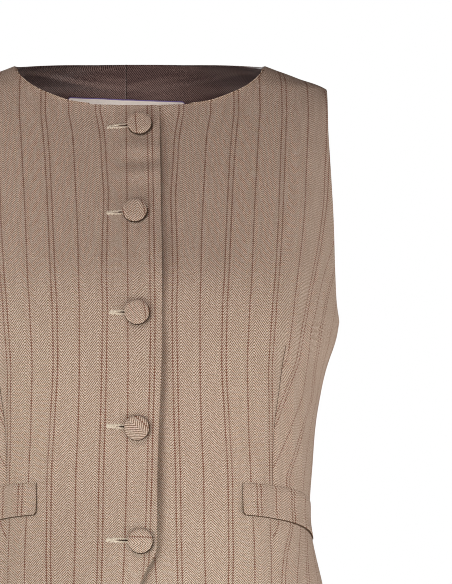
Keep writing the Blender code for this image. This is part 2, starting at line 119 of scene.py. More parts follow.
FRONT_NECKLINE = table(
    "share fall",
    (0, 1), (0.2, 0.993), (0.38, 0.962), (0.5, 0.918), (0.58, 0.865), (0.697, 0.742), (0.804, 0.598),
    (0.886, 0.448), (0.95, 0.275), (0.983, 0.13), (1, 0),
    plain="share fall",
)
ARMHOLE = table(
    "z front back",
    (-196, 159.4, 159.4), (-178, 156.3, 155.6), (-156, 154.9, 153.6), (-132.4, 154.1, 151.8),
    (-103.2, 153, 150.2), (-91.2, 152.3, 149.6), (-65, 150.7, 148.5), (-39.1, 149.6, 148),
    (-9.5, 149.8, 149.8),
)
STAND = table(
    "z reach",
    (-458, -22.5), (-426, -10.6), (-397.9, 0.4), (-391.7, 3.1), (-386.3, 5.5), (-382.5, 8.2),
    (-377.8, 10.9), (-372.2, 12.7), (-365, 13.2), (-320, 13.4), (-280, 14.6), (-240, 16.2),
    (-200, 17.2), (-140, 17), (-80, 16.2), (-20, 15.6),
)
GUIDES = table(
    "z neck_line dart_line",
    (-460, 85, 106), (-399, 83.5, 104.9), (-323.7, 83, 105), (-298.7, 83.5, 105.4),
    (-273.8, 84.5, 106.6), (-250.4, 86.5, 109.5), (-212.3, 89, 113.7), (-130, 93, 116.5),
    (-50, 97.5, 118), (9.5, 99.9, 118),
)

# Pinstripes, one every 20 mm of cloth: double lines have even numbers and single lines odd ones.
# The columns give their x on a front, and None where a stripe isn't there.
STRIPE_STEP = 0.020
INNER_STRIPES = table(
    "z s0 s1 s2 s3 s4 s5 s6",
    (-440, -2, 15, 32.4, 51.6, 70.8, 89.8, 105.6),
    (-400, -3.9, 13.1, 31.3, 51, 70.5, 89.5, 105),
    (-375, -5.5, 11.9, 30.7, 50.2, 70.9, 89.4, 104.8),
    (-320, -7.3, 10.2, 29.8, 49.5, 70.3, 86.7, 103.7),
    (-275, -8.4, 9.5, 28.5, 47.6, 67.8, 84.5, 102.8),
    (-225, -9.7, 9, 27.3, 46.5, 65, 83.3, 101.6),
    (-185, -9.9, 9.1, 26.7, 46.5, 65.7, 85.1, 104.4),
    (-160, -9.6, 9.3, 27.4, 47.2, 67.2, 86.9, 106.8),
    (-130, -9.2, 9.6, 27, 48, 68.8, 88.4, 109.1),
    (-100, -8.8, 9.9, 26.1, 49.6, 70.4, 90.1, 110.8),
    (-75, -8.3, 10.2, 27.6, 51, 72, 91.8, 112.2),
    (-50, -7.9, 10.5, 29.3, 52.7, 74.1, 93.5, 113.5),
    (-30, -7.7, 10.6, 32.9, 56.1, 76.4, 95.2, 114.5),
)
OUTER_STRIPES = table(
    "z s7 s8 s9 s10 s11 s12",
    (-440, None, None, None, 111.5, 123.5, None),
    (-395, None, None, None, 112.7, 123.7, None),
    (-378, None, None, None, 114.5, 125.2, None),
    (-350, None, None, 109.4, 119.5, None, None),
    (-320, None, None, 102.5, 116.6, None, None),
    (-300, None, None, 110.1, 122.4, None, None),
    (-275, None, 106.5, 120, 129.1, None, None),
    (-250, None, 115.1, 128.1, 136.7, None, None),
    (-225, 115, 123.5, 132.3, 139.6, None, None),
    (-205, 117.2, 126.9, 133.8, 142, None, None),
    (-185, 119.6, 130.6, 138.3, 145.7, None, None),
    (-160, 123, 136, 144.5, 152.6, None, None),
    (-130, 127.1, 142.2, 153.9, None, None, None),
    (-100, 129.9, 146.5, None, None, None, None),
    (-75, 131.3, 147.8, None, None, None, None),
    (-30, 133.6, 150.2, None, None, None, None),
)
# The arc from the centre to s12, by the side seam, where the cloth hangs smoother than at the dart
SIDE_STRIPE = table(
    "z arc",
    (-440, 148), (-395, 151.5), (-350, 163), (-320, 172), (-275, 187), (-225, 204), (-160, 220),
    (-100, 230), (-30, 232),
)

# Grid rows up the side seam and the armhole, and columns between the guide lines: the CAD
# source's own, and the fine ones here, which lie on them.
SKIRT_TOP_Z = -0.3450  # closer rows below this level
CAD_SKIRT_ROWS, CAD_SIDE_ROWS, CAD_ARMHOLE_ROWS = 8, 18, 15
SKIRT_ROWS, SIDE_ROWS, ARMHOLE_ROWS = 44, 120, 90
CAD_STRIPS = {"front": (10, 2, 7), "back": (1, 5, 6)}
STRIPS = {"front": (70, 14, 49), "back": (8, 44, 52)}
DART_COLUMN = sum(STRIPS["front"][:2])
EDGE_ROUND, RIM_SHARE = 0.0005, 0.22  # how far a cut edge is rounded, and where its rim turns
CHEST_EASE = 0.12  # the weave looks closer over the chest
DART_TIP_EASE = 0.12  # and wider by the dart's tip
SIDE_SLANT = 0.30  # how the weft climbs toward the side seam outside the dart


# ---------------------------------------------------------------- points and smooth tables

def stacked(*parts):
    return np.stack(np.broadcast_arrays(*parts), axis=-1)


def spans(points, axis=0):
    """The distances between neighbours."""
    return np.linalg.norm(np.diff(points, axis=axis), axis=-1)


def eased(value, start, end):
    """0 before start, 1 after end, and smooth between."""
    u = np.clip((np.asarray(value, float) - start) / (end - start), 0, 1)
    return u * u * (3 - 2 * u)


def bump(value, centre, reach):
    """A soft hump of height 1 at the centre."""
    return np.exp(-(((np.asarray(value, float) - centre) / reach) ** 2))


def smooth_between(knots, values, at):
    """A monotone cubic through the table's values, so that no bump appears between its rows."""
    steps = np.diff(knots)
    rates = np.diff(values) / steps
    below, above = rates[:-1], rates[1:]
    same_way = above * below > 0
    slopes = np.zeros(len(knots))
    slopes[0], slopes[-1] = rates[0], rates[-1]
    slopes[1:-1] = np.where(same_way, 2 * above * below / np.where(same_way, above + below, 1), 0)
    at = np.clip(at, knots[0], knots[-1])
    i = np.clip(np.searchsorted(knots, at) - 1, 0, len(steps) - 1)
    u = (at - knots[i]) / steps[i]
    return (
        values[i] * (1 + 2 * u) * (1 - u) ** 2
        + values[i + 1] * u * u * (3 - 2 * u)
        + steps[i] * (slopes[i] * u * (1 - u) ** 2 + slopes[i + 1] * u * u * (u - 1))
    )


SOFT_REACH = 0.010
SOFT_WEIGHTS = (
    (-1.0, 0.06), (-0.67, 0.13), (-0.33, 0.19), (0.0, 0.24), (0.33, 0.19), (0.67, 0.13), (1.0, 0.06),
)


def section(name, z):
    """A section's value at z, softened over a short height except near the shoulders."""
    z = np.asarray(z, float)
    reach = SOFT_REACH * eased(-z, 0.020, 0.070)
    column = partial(smooth_between, SECTIONS["z"], SECTIONS[name])
    return sum(w * column(z + k * reach) for k, w in SOFT_WEIGHTS)


# ---------------------------------------------------------------- the form, as in the CAD source

def armhole_reach(z, side):
    """How far the armhole's edge stands before or behind the seam plane at the height z."""
    middle, half = (UNDERARM_Z + SHOULDER_TIP_Z) / 2, (SHOULDER_TIP_Z - UNDERARM_Z) / 2
    rise = np.clip((np.asarray(z) - middle) / half, -1, 1)
    return ARMHOLE_DEPTH[side] * np.sqrt(1 - rise**2) * (1 - ARMHOLE_FULLNESS * rise)


def half_width(z, side):
    """The form's half width: over the armhole, what brings its surface to the armhole's edge."""
    z = np.asarray(z, float)
    inside = (z > UNDERARM_Z) & (z < SHOULDER_TIP_Z)
    edge = smooth_between(ARMHOLE["z"], ARMHOLE[side], z)
    share = np.clip(armhole_reach(z, side) / section(side + "_depth", z), 0, 0.98)
    flat, full = section(side + "_flat", z), section(side + "_full", z)
    return np.where(inside, edge / (1 - share**full) ** (1 / flat), section("half_width", z))


def depth_at(x, z, side):
    """How far the form lies before (side front) or behind (side back) the seam plane."""
    share = np.clip(np.abs(x) / half_width(z, side), 0, 1)
    flat, full = section(side + "_flat", z), section(side + "_full", z)
    return section(side + "_depth", z) * (1 - share**flat) ** (1 / full)


def on_form(x, z, side):
    y = depth_at(x, z, side) * (-1 if side == "front" else 1)
    return stacked(x, y, z)


def turn_of(x, z, side):
    """Where x lies round its section: 0 at the centre, a quarter turn at the side seam."""
    share = np.clip(np.abs(x) / half_width(z, side), 0, 1)
    return np.sign(x) * np.arcsin(share ** (section(side + "_flat", z) / 2))


def x_of_turn(turn, z, side):
    share = np.abs(np.sin(turn)) ** (2 / section(side + "_flat", z))
    return np.sign(turn) * half_width(z, side) * share


def top_z(x, side):
    """The neckline's height at x, and beyond the neck point the shoulder seam's."""
    share = np.clip(np.abs(x) / NECK_POINT_X, 0, 1)
    if side == "front":
        fall = smooth_between(FRONT_NECKLINE["share"], FRONT_NECKLINE["fall"], share)
        neckline = NECK_POINT_Z - FRONT_NECK_DROP * fall
    else:
        neckline = NECK_POINT_Z + BACK_NECK_RISE * (1 - share**BACK_NECK_POWER)
    # the shoulder seam lies at the level whose section is just as wide
    levels = np.linspace(SHOULDER_TIP_Z - 0.002, NECK_POINT_Z + 0.002, 200)
    shoulder = np.interp(np.abs(x), section("half_width", levels)[::-1], levels[::-1])
    return np.where(np.abs(x) < NECK_POINT_X, neckline, shoulder)


def front_edge_x(z):
    return -smooth_between(STAND["z"], STAND["reach"], z)


def level_line(x, z):
    return x + 0 * np.asarray(z)


neck_line_x = partial(smooth_between, GUIDES["z"], GUIDES["neck_line"])
dart_line_x = partial(smooth_between, GUIDES["z"], GUIDES["dart_line"])
GUIDE_LINES = {
    "front": (front_edge_x, neck_line_x, dart_line_x),
    "back": (partial(level_line, SEAM_GAP / 2), partial(level_line, LINING_SEAM_X), neck_line_x),
}
SHOULDER_TIP_X = float(section("half_width", SHOULDER_TIP_Z))


def edge_heights(skirt_rows, side_rows, share):
    """Heights of the rows up the side seam, and of the given shares of the armhole's rows."""
    skirt = np.linspace(SIDE_HEM_Z, SKIRT_TOP_Z, skirt_rows + 1)
    body = np.linspace(SKIRT_TOP_Z, UNDERARM_Z, side_rows - skirt_rows + 1)[1:]
    even = 0.4 * (1 - share) ** 1.5
    rise = even * share + (1 - even) * (1 - np.cos(math.pi * share)) / 2
    return np.append(skirt, body), UNDERARM_Z + (SHOULDER_TIP_Z - UNDERARM_Z) * rise


def row_levels(edge_z):
    """The edge heights as shares of the CAD grid's rows from the hem to the shoulder tip."""
    fine = np.linspace(0, 1, 10 * CAD_ARMHOLE_ROWS + 1)[1:]
    heights = np.concatenate(edge_heights(CAD_SKIRT_ROWS, CAD_SIDE_ROWS, fine))
    rows = np.append(np.arange(CAD_SIDE_ROWS + 1), CAD_SIDE_ROWS + fine * CAD_ARMHOLE_ROWS)
    return np.interp(edge_z, heights, rows / (CAD_SIDE_ROWS + CAD_ARMHOLE_ROWS))


@lru_cache(maxsize=None)
def half_grid(side):
    """Points of one half (x to its own side), rows from the hem up, columns from the centre out."""
    seam_z, hole_z = edge_heights(SKIRT_ROWS, SIDE_ROWS, np.linspace(0, 1, ARMHOLE_ROWS + 1)[1:])
    edge_z = np.append(seam_z, hole_z)
    edge_x = np.append(half_width(seam_z, side), smooth_between(ARMHOLE["z"], ARMHOLE[side], hole_z))
    levels = row_levels(edge_z)
    hem_share = (1 - np.clip(levels / 0.45, 0, 1)) ** 2
    top_share = 1 - (1 - np.clip((levels - 0.5) / 0.5, 0, 1)) ** 2
    straight = eased(levels, 0.72, 1.0)

    def across(ends):
        return ends[strip] * (1 - share) + ends[strip + 1] * share

    strips, lines_in, columns = STRIPS[side], GUIDE_LINES[side], []
    top_ends = [float(line(NECK_POINT_Z)) for line in lines_in] + [SHOULDER_TIP_X]
    whole = [0, *np.cumsum(CAD_STRIPS[side])]
    places = [(k, i / n) for k, n in enumerate(strips) for i in range(n)]
    for strip, share in places + [(len(strips) - 1, 1.0)]:
        top_x = across(top_ends)
        hem_z = HEM_Z[side] + (SIDE_HEM_Z - HEM_Z[side]) * (across(whole) / whole[-1])
        z = (
            edge_z
            + (hem_z - SIDE_HEM_Z) * hem_share
            + (float(top_z(top_x, side)) - SHOULDER_TIP_Z) * top_share
        )
        lines = [line(z) for line in lines_in]
        turns = [turn_of(line, z, side) for line in lines] + [turn_of(edge_x, edge_z, side)]
        x = x_of_turn(across(turns), z, side) * (1 - straight) + across([*lines, edge_x]) * straight
        x[-1] = top_x
        columns.append(on_form(x, z, side))
        if top_x > NECK_POINT_X - 1e-5:
            columns[-1][-1, 1] = 0
    points = np.stack(columns, axis=1)
    points[: SIDE_ROWS + 1, -1, 1] = 0
    return points


def unit(vectors):
    return vectors / np.maximum(np.linalg.norm(vectors, axis=-1, keepdims=True), 1e-12)


def outward_normals(points):
    """Unit normals of a grid. On the side and shoulder seams they lie in the seam plane."""
    normals = np.cross(np.gradient(points, axis=1), np.gradient(points, axis=0))
    normals *= np.sign(np.median((points * (1, 1, 0) * normals).sum(axis=-1)))
    normals[np.abs(points[..., 1]) < 1e-6, 1] = 0
    return normals / np.linalg.norm(normals, axis=-1, keepdims=True)


def mirrored(grid):
    return grid * (-1, 1, 1)


def run_along(path):
    """The length of a path up to each of its points."""
    return np.append(0, np.cumsum(spans(path)))


def front_facing(x, z, step):
    """A place on the front's form and its normal, from its neighbours a step away."""
    centre, dx, dz = (on_form(x + a, z + b, "front") for a, b in ((0, 0), (step, 0), (0, step)))
    return centre, unit(np.cross(dx - centre, dz - centre))


# ---------------------------------------------------------------- the cloth's grain

ARC_LEVELS = np.linspace(-0.470, 0.012, 200)
ARC_TURNS = np.linspace(0, math.pi / 2, 121)


@lru_cache(maxsize=None)
def arc_table(side):
    """Lengths along the form's sections from the centre, by level and turn."""
    z = ARC_LEVELS[:, None] + 0 * ARC_TURNS
    x = x_of_turn(ARC_TURNS + 0 * z, z, side)
    steps = spans(stacked(x, depth_at(x, z, side)), axis=1)
    return np.pad(np.cumsum(steps, axis=1), ((0, 0), (1, 0)))


def arc_at(x, z, side):
    """The arc from the centre to x, negative past the centre."""
    lengths = arc_table(side)
    j = np.clip(np.abs(turn_of(x, z, side)) / ARC_TURNS[1], 0, len(ARC_TURNS) - 1.001)
    k = np.clip((z - ARC_LEVELS[0]) / (ARC_LEVELS[1] - ARC_LEVELS[0]), 0, len(ARC_LEVELS) - 1.001)
    j0, k0 = j.astype(int), k.astype(int)
    low, high = (
        lengths[row, j0] * (1 - (j - j0)) + lengths[row, j0 + 1] * (j - j0) for row in (k0, k0 + 1)
    )
    return np.sign(x) * (low * (1 - (k - k0)) + high * (k - k0))


def stripe_arcs(stripes):
    """Each stripe's arc from the centre at the table's levels, its gaps filled a step away."""
    z, *places = stripes.values()
    places = np.stack(places, axis=1)
    given = np.isfinite(places)
    arcs = arc_at(np.where(given, places, 0), z[:, None], "front")
    arcs[~given] = np.nan
    last = arcs.shape[1] - 1
    for k in range(1, last + 1):
        arcs[:, k] = np.where(np.isnan(arcs[:, k]), arcs[:, k - 1] + STRIPE_STEP, arcs[:, k])
    for k in range(last - 1, -1, -1):
        arcs[:, k] = np.where(np.isnan(arcs[:, k]), arcs[:, k + 1] - STRIPE_STEP, arcs[:, k])
    if stripes is OUTER_STRIPES:
        arcs[:, -1] = smooth_between(SIDE_STRIPE["z"], SIDE_STRIPE["arc"], z)
        arcs[:, -2] = np.where(given[:, -2], arcs[:, -2], (arcs[:, -3] + arcs[:, -1]) / 2)
    return [(z, arc) for arc in arcs.T]


def stripe_number(arc, z, tables, first):
    """The pinstripe coordinate: whole numbers on the stripes, and even steps beyond the last.

    It comes twice: even between the stripes, and true to size near each stripe.
    """
    places = [smooth_between(*stripe, z) for stripes in tables for stripe in stripe_arcs(stripes)]
    number = true = first + (arc - places[0]) / STRIPE_STEP
    for k, (low, high) in enumerate(zip(places, places[1:]), start=first):
        gap = np.maximum(high - low, 0.004)
        share = np.clip((arc - low) / gap, 0, 1)
        scale = gap / STRIPE_STEP
        near = k + share * scale + (1 - scale) * eased(share, 0.38, 0.62)
        number, true = np.where(arc >= low, k + share, number), np.where(arc >= low, near, true)
    beyond = first + len(places) - 1 + (arc - places[-1]) / STRIPE_STEP
    return np.where(arc >= places[-1], beyond, np.stack([number, true]))


def along_warp(points, ease=0.0):
    """The cloth's length along its warp from the waist up, in stripe steps, column by column."""
    z = points[..., 2]
    close = 1 + CHEST_EASE * eased(z, -0.180, -0.120) - ease * bump(z, -0.225, 0.040)
    rise = spans(points) * (close[1:] + close[:-1]) / 2
    length = np.pad(np.cumsum(rise, axis=0), ((1, 0), (0, 0)))
    waist = [np.interp(WAIST_Z, z[:, k], length[:, k]) for k in range(z.shape[1])]
    return (length - waist) / STRIPE_STEP


def front_grains(points):
    """The grain of a front inside its dart line and outside it. They part below the dart's tip."""
    x, z = points[..., 0], points[..., 2]
    arc = arc_at(x, z, "front")
    whole = stripe_number(arc, z, (INNER_STRIPES, OUTER_STRIPES), 0)
    parted = eased(-z, -DART_TIP_Z, -DART_TIP_Z + 0.030)
    inside = whole * (1 - parted) + stripe_number(arc, z, (INNER_STRIPES,), 0) * parted
    outside = whole * (1 - parted) + stripe_number(arc, z, (OUTER_STRIPES,), 7) * parted
    along = along_warp(points, DART_TIP_EASE)
    off_dart = np.maximum(arc - arc[:, DART_COLUMN][:, None], 0) / STRIPE_STEP
    slant = SIDE_SLANT * eased(-z, 0.150, 0.230) * (1 - 0.6 * eased(-z, 0.330, 0.420))
    plain = inside[0][:, DART_COLUMN][:, None] + off_dart
    return [
        stacked(inside[0], along, inside[1]),
        stacked(plain, along + slant * off_dart, outside[1]),
    ]


def back_grain(points):
    number = arc_at(points[..., 0], points[..., 2], "back") / STRIPE_STEP + 0.5
    return stacked(number, along_warp(points), number)


# ---------------------------------------------------------------- how the cloth lies on the form

STAND_FADE = (0.018, 0.046)  # the distances from the centre between which the overlap's lift ends
CREASE_DEPTH, CREASE_WIDTH = 0.0007, 0.0016
RIPPLE_DEPTH, RIPPLE_PITCH, RIPPLE_TOP_Z = 0.0017, 0.0215, -0.0590
OPEN_SPAN = 0.085  # between two buttons: the upper edge stands off more over a longer span

def soft_noise(x, z, scale, seed):
    """Smooth unevenness between -1 and 1 from a few crossing waves."""
    rng = np.random.default_rng(seed)
    total = 0
    for _ in range(7):
        angle, phase, stretch = rng.uniform((0, 0, 0.6), (math.pi, 2 * math.pi, 1.5))
        along = x * math.cos(angle) * 1.6 + z * math.sin(angle)
        total = total + np.sin(along * 2 * math.pi * stretch / scale + phase)
    return total / 4.0


def lapped_relief(x, z):
    """The upper front's edge: it stands off between the buttons and dips round each of them."""
    from_edge = x - front_edge_x(z)
    opened = 0
    for high, low in zip(BUTTON_Z, BUTTON_Z[1:]):
        span = high - low
        wave = np.sin(math.pi * np.clip((high - z) / span, 0, 1)) ** 2 * (span / OPEN_SPAN)
        opened = opened + np.where((z <= high) & (z >= low), wave, 0)
    relief = (0.0018 + 0.0009 * eased(z, -0.24, -0.17)) * opened * bump(from_edge, 0.0, 0.011)
    relief += 0.0005 * bump(from_edge, 0.0010, 0.0016)
    relief += 0.0008 * bump(from_edge, 0.0, 0.009) * bump(z, -0.046, 0.012)
    for bx, bz in zip(BUTTON_X, BUTTON_Z):
        away = np.hypot(x + bx, z - bz)
        below = eased((x + bx) * -0.6 - (z - bz), -0.006, 0.008)
        relief -= 0.0007 * bump(away, 0.0, 0.0105) + 0.0008 * bump(away, 0.0102, 0.0022) * below
    return relief


def front_relief(points, lift, over):
    """How far the cloth of a front lies off the form. over is true for the half that laps over."""
    x, z = points[..., 0], points[..., 2]
    relief = lift * (1 - eased(x, *STAND_FADE))
    # the dart: a soft groove, a sharp crease in it, a swell over its tip and a ridge beside it
    off_dart = x - dart_line_x(z)
    below_tip = eased(-z, -DART_TIP_Z, -DART_TIP_Z + DART_FADE)
    relief -= DART_GROOVE * bump(off_dart, 0.0, DART_GROOVE_WIDTH) * below_tip
    crease = eased(-z, -DART_TIP_Z - 0.004, -DART_TIP_Z + 0.012)
    relief -= CREASE_DEPTH * bump(off_dart, 0.0, CREASE_WIDTH) * crease
    relief += 0.0005 * bump(x, 0.1145, 0.010) * bump(z, DART_TIP_Z + 0.012, 0.014)
    ridge = eased(-z, 0.215, 0.270) * (1 - eased(-z, 0.320, 0.345))
    relief += 0.0009 * bump(x, 0.1287 + (z + 0.25) * 0.03, 0.0034) * ridge
    quiet = eased(z, SIDE_HEM_Z + 0.004, SIDE_HEM_Z + 0.05)
    relief += 0.00035 * soft_noise(x, z, 0.11, 5) * quiet + 0.00018 * soft_noise(x, z, 0.045, 9) * quiet
    # soft ripples of the placket between the first two buttons
    band = bump(x, -0.002, 0.016) * bump(z, -0.072, 0.019)
    relief += RIPPLE_DEPTH * band * np.cos(2 * math.pi * (z - RIPPLE_TOP_Z) / RIPPLE_PITCH)
    if over:
        return relief + lapped_relief(x, z)
    # the under front falls away where the upper one's edge lies on it
    trough = 0.0021 + 0.0019 * eased(-z, 0.16, 0.30)
    return relief - trough * bump(x + front_edge_x(z), 0.0008, 0.0048) * eased(-z, 0.022, 0.042)


def front_face(lift, over):
    """The outer face of a front as the wearer's left one, and its normals."""
    grid = half_grid("front")
    normals = outward_normals(grid)
    relief = front_relief(grid, lift, over)
    return grid + (0, -SEAM_GAP / 2, 0) + normals * relief[..., None], normals


def front_half(mirror):
    """One front's outer face, its normals and its two grains."""
    points, normals = front_face(LAYER_LIFT if mirror else -LAYER_LIFT, mirror)
    grains = front_grains(half_grid("front"))
    if mirror:
        return mirrored(points), mirrored(normals), grains
    # the under front's neckline reaches up to the upper one's
    near_stand = 1 - eased(points[..., 0], *STAND_FADE)
    points[..., 2] += 0.0014 * near_stand * eased(points[..., 2], -0.038, -0.026)
    return points, normals, grains


def back_half(mirror):
    """One back's outer face, its normals and its grain."""
    grid = half_grid("back")
    points, normals = grid + (0, SEAM_GAP / 2, 0), outward_normals(grid)
    if mirror:
        points, normals = mirrored(points), mirrored(normals)
    return points, normals, back_grain(grid)


# ---------------------------------------------------------------- meshes

def new_object(name, data):
    made = bpy.data.objects.new(name, data)
    scene.collection.objects.link(made)
    return made


def new_piece(name, mesh, materials, node=None):
    for material in materials:
        mesh.materials.append(material)
    piece = new_object(name, mesh)
    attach(piece, "root")
    if node:
        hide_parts(node)
    return piece


def cloth_mesh(
    name, outer, inner, grain, other_grain=None, split=0, inner_slots=0, round_by=EDGE_ROUND, rim_slot=0
):
    """A closed shell between two grids, with a rounded rim.

    Right of the column split, faces take other_grain.
    """
    rows, cols = outer.shape[:2]
    away = np.zeros_like(outer)
    away[0] += unit(outer[0] - outer[1])
    away[-1] += unit(outer[-1] - outer[-2])
    away[:, 0] += unit(outer[:, 0] - outer[:, 1])
    away[:, -1] += unit(outer[:, -1] - outer[:, -2])
    away = unit(away) * round_by

    place = np.arange(rows * cols).reshape(rows, cols)
    border = np.concatenate([place[0], place[1:, -1], place[-1, -2::-1], place[-2:0:-1, 0]])
    out, into = outer.reshape(-1, 3)[border], inner.reshape(-1, 3)[border]
    high = out * (1 - RIM_SHARE) + into * RIM_SHARE
    low = out * RIM_SHARE + into * (1 - RIM_SHARE)
    verts = np.concatenate([(outer - away).reshape(-1, 3), (inner - away).reshape(-1, 3), high, low])
    place_of = np.concatenate([place.ravel(), place.ravel(), border, border])

    quads = stacked(place[:-1, :-1], place[:-1, 1:], place[1:, 1:], place[1:, :-1])
    quads = quads.reshape(-1, 4)
    count, loop = rows * cols, len(border)
    rings = (border, 2 * count + np.arange(loop), 2 * count + loop + np.arange(loop), count + border)
    rim = [stacked(a, b, np.roll(b, -1), np.roll(a, -1)) for a, b in zip(rings, rings[1:])]
    faces = np.concatenate([quads, quads[:, ::-1] + count, *rim])
    slots = np.concatenate([
        np.zeros(len(quads)),
        np.broadcast_to(inner_slots, (rows, cols))[:-1, :-1].ravel(),
        np.repeat([0, rim_slot, rim_slot], loop),
    ])

    mesh = bpy.data.meshes.new(name)
    mesh.from_pydata(verts, [], faces)
    corners = place_of[faces]
    uv = grain.reshape(-1, 3)[corners]
    if other_grain is not None:
        right = (corners % cols).min(axis=1) >= split
        uv[right] = other_grain.reshape(-1, 3)[corners[right]]
    uv = uv.reshape(-1, 3).astype(np.float32)
    for layer, columns in (("grain", (0, 1)), ("pin", (2, 1))):
        mesh.uv_layers.new(name=layer).data.foreach_set("uv", uv[:, columns].ravel())
    mesh.polygons.foreach_set("material_index", slots.astype(np.int32))
    first = verts[faces[0]]
    if np.cross(first[1] - first[0], first[2] - first[0]) @ (outer[0, 0] - inner[0, 0]) < 0:
        mesh.flip_normals()
    mesh.shade_smooth()
    mesh.update()
    return mesh


def ring_mesh(name, rings, caps, grain=None, layers=()):
    """Rings of points, closed by caps on the first or the first two ends, or joined in a band."""
    place = np.arange(rings.shape[0] * rings.shape[1]).reshape(rings.shape[:2])
    ends = [place[0, ::-1], place[-1]][:caps]
    low, high = (place[:-1], place[1:]) if caps else (place, np.roll(place, -1, axis=0))
    quads = stacked(low, np.roll(low, -1, axis=1), np.roll(high, -1, axis=1), high)
    mesh = bpy.data.meshes.new(name)
    faces = quads.reshape(-1, 4).tolist() + [end.tolist() for end in ends]
    mesh.from_pydata(rings.reshape(-1, 3), [], faces)
    corners = np.concatenate([quads.ravel(), *ends])
    for layer in layers:
        uv = grain.reshape(-1, 2)[corners].astype(np.float32)
        mesh.uv_layers.new(name=layer).data.foreach_set("uv", uv.ravel())
    mesh.shade_smooth()
    return mesh


STITCH_PITCH = 0.00075


def thread_piece(name, path, radii, normals, material, sides=8, squash=1.0):
    """A closed thread along a path, its section flattened by squash along the path's normals."""
    along = unit(np.gradient(path, axis=0))
    normals = unit(normals - along * (normals * along).sum(-1, keepdims=True))
    side = np.cross(along, normals)
    turns = np.arange(sides) / sides
    angles = 2 * math.pi * turns[:, None]
    radii = np.broadcast_to(radii, len(path))[:, None, None]
    rings = (
        path[:, None]
        + side[:, None] * np.cos(angles) * radii
        + normals[:, None] * np.sin(angles) * radii * squash
    )
    lengths = run_along(path)[:, None] / STITCH_PITCH
    grain = stacked(lengths, turns * 2)
    return new_piece(name, ring_mesh(name, rings, 2, grain, ("grain",)), (material,))


# ---------------------------------------------------------------- materials

class Value:
    """A number in a material's node tree. Arithmetic on it adds Math nodes."""

    def __init__(self, nodes, socket):
        self.nodes, self.socket = nodes, socket

    def calc(self, operation, *values):
        return self.nodes.node("ShaderNodeMath", (self, *values), operation=operation)

    def __rsub__(self, number):
        return self.nodes.node("ShaderNodeMath", (number, self), operation="SUBTRACT")

    __add__ = partialmethod(calc, "ADD")
    __sub__ = partialmethod(calc, "SUBTRACT")
    __mul__ = partialmethod(calc, "MULTIPLY")
    __truediv__ = partialmethod(calc, "DIVIDE")
    __abs__ = partialmethod(calc, "ABSOLUTE")
    zigzag = partialmethod(calc, "PINGPONG")
    lesser = partialmethod(calc, "MINIMUM")


class Nodes:
    """Short calls to build one material's node tree."""

    def __init__(self, name):
        self.material = bpy.data.materials.new(name)
        self.material.use_nodes = True
        self.tree = self.material.node_tree

    def put(self, socket, value):
        if isinstance(value, Value):
            self.tree.links.new(value.socket, socket)
        else:
            socket.default_value = (*value, 1) if socket.type == "RGBA" else value

    def node(self, kind, inputs=(), output=0, **settings):
        made = self.tree.nodes.new(kind)
        for key, value in settings.items():
            setattr(made, key, value)
        for key, value in inputs.items() if isinstance(inputs, dict) else enumerate(inputs):
            self.put(made.inputs[key], value)
        return Value(self, made.outputs[output])

    def grain(self, uv_map="grain"):
        place = self.node("ShaderNodeUVMap", uv_map=uv_map)
        return [self.node("ShaderNodeSeparateXYZ", (place,), axis) for axis in (0, 1)]

    def noise(self, at, detail=2.0, scale=1.0):
        """Noise at a vector, or at two or three numbers."""
        if isinstance(at, tuple):
            at = self.node("ShaderNodeCombineXYZ", at)
        inputs = {"Vector": at, "Scale": scale, "Detail": detail, "Roughness": 0.5}
        return self.node("ShaderNodeTexNoise", inputs)

    def object_noise(self, detail, scale):
        return self.noise(self.node("ShaderNodeTexCoord", output=3), detail, scale)

    def ramp(self, value, low, high, to_low=0.0, to_high=1.0):
        inputs = {"Value": value, "From Min": low, "From Max": high, "To Min": to_low, "To Max": to_high}
        return self.node("ShaderNodeMapRange", inputs, interpolation_type="SMOOTHSTEP")

    def mix(self, share, a, b):
        return self.node("ShaderNodeMix", {0: share, 6: a, 7: b}, 2, data_type="RGBA")

    def bump(self, height, distance, strength):
        inputs = {"Height": height, "Distance": distance, "Strength": strength}
        return self.node("ShaderNodeBump", inputs)

    def finish(self, settings):
        """Sets the shader's own sockets."""
        shader = self.tree.nodes["Principled BSDF"]
        shader.inputs["Metallic"].default_value = 0
        for name, value in settings.items():
            self.put(shader.inputs[name], value)
        return self.material


# The herringbone's period up the cloth and across it, in stripe steps
TWILL_ALONG, TWILL_ACROSS = 2.03 / 20, 1.78 / 20
LINE_OFFSET = 0.0925  # a double stripe's two lines, from its middle


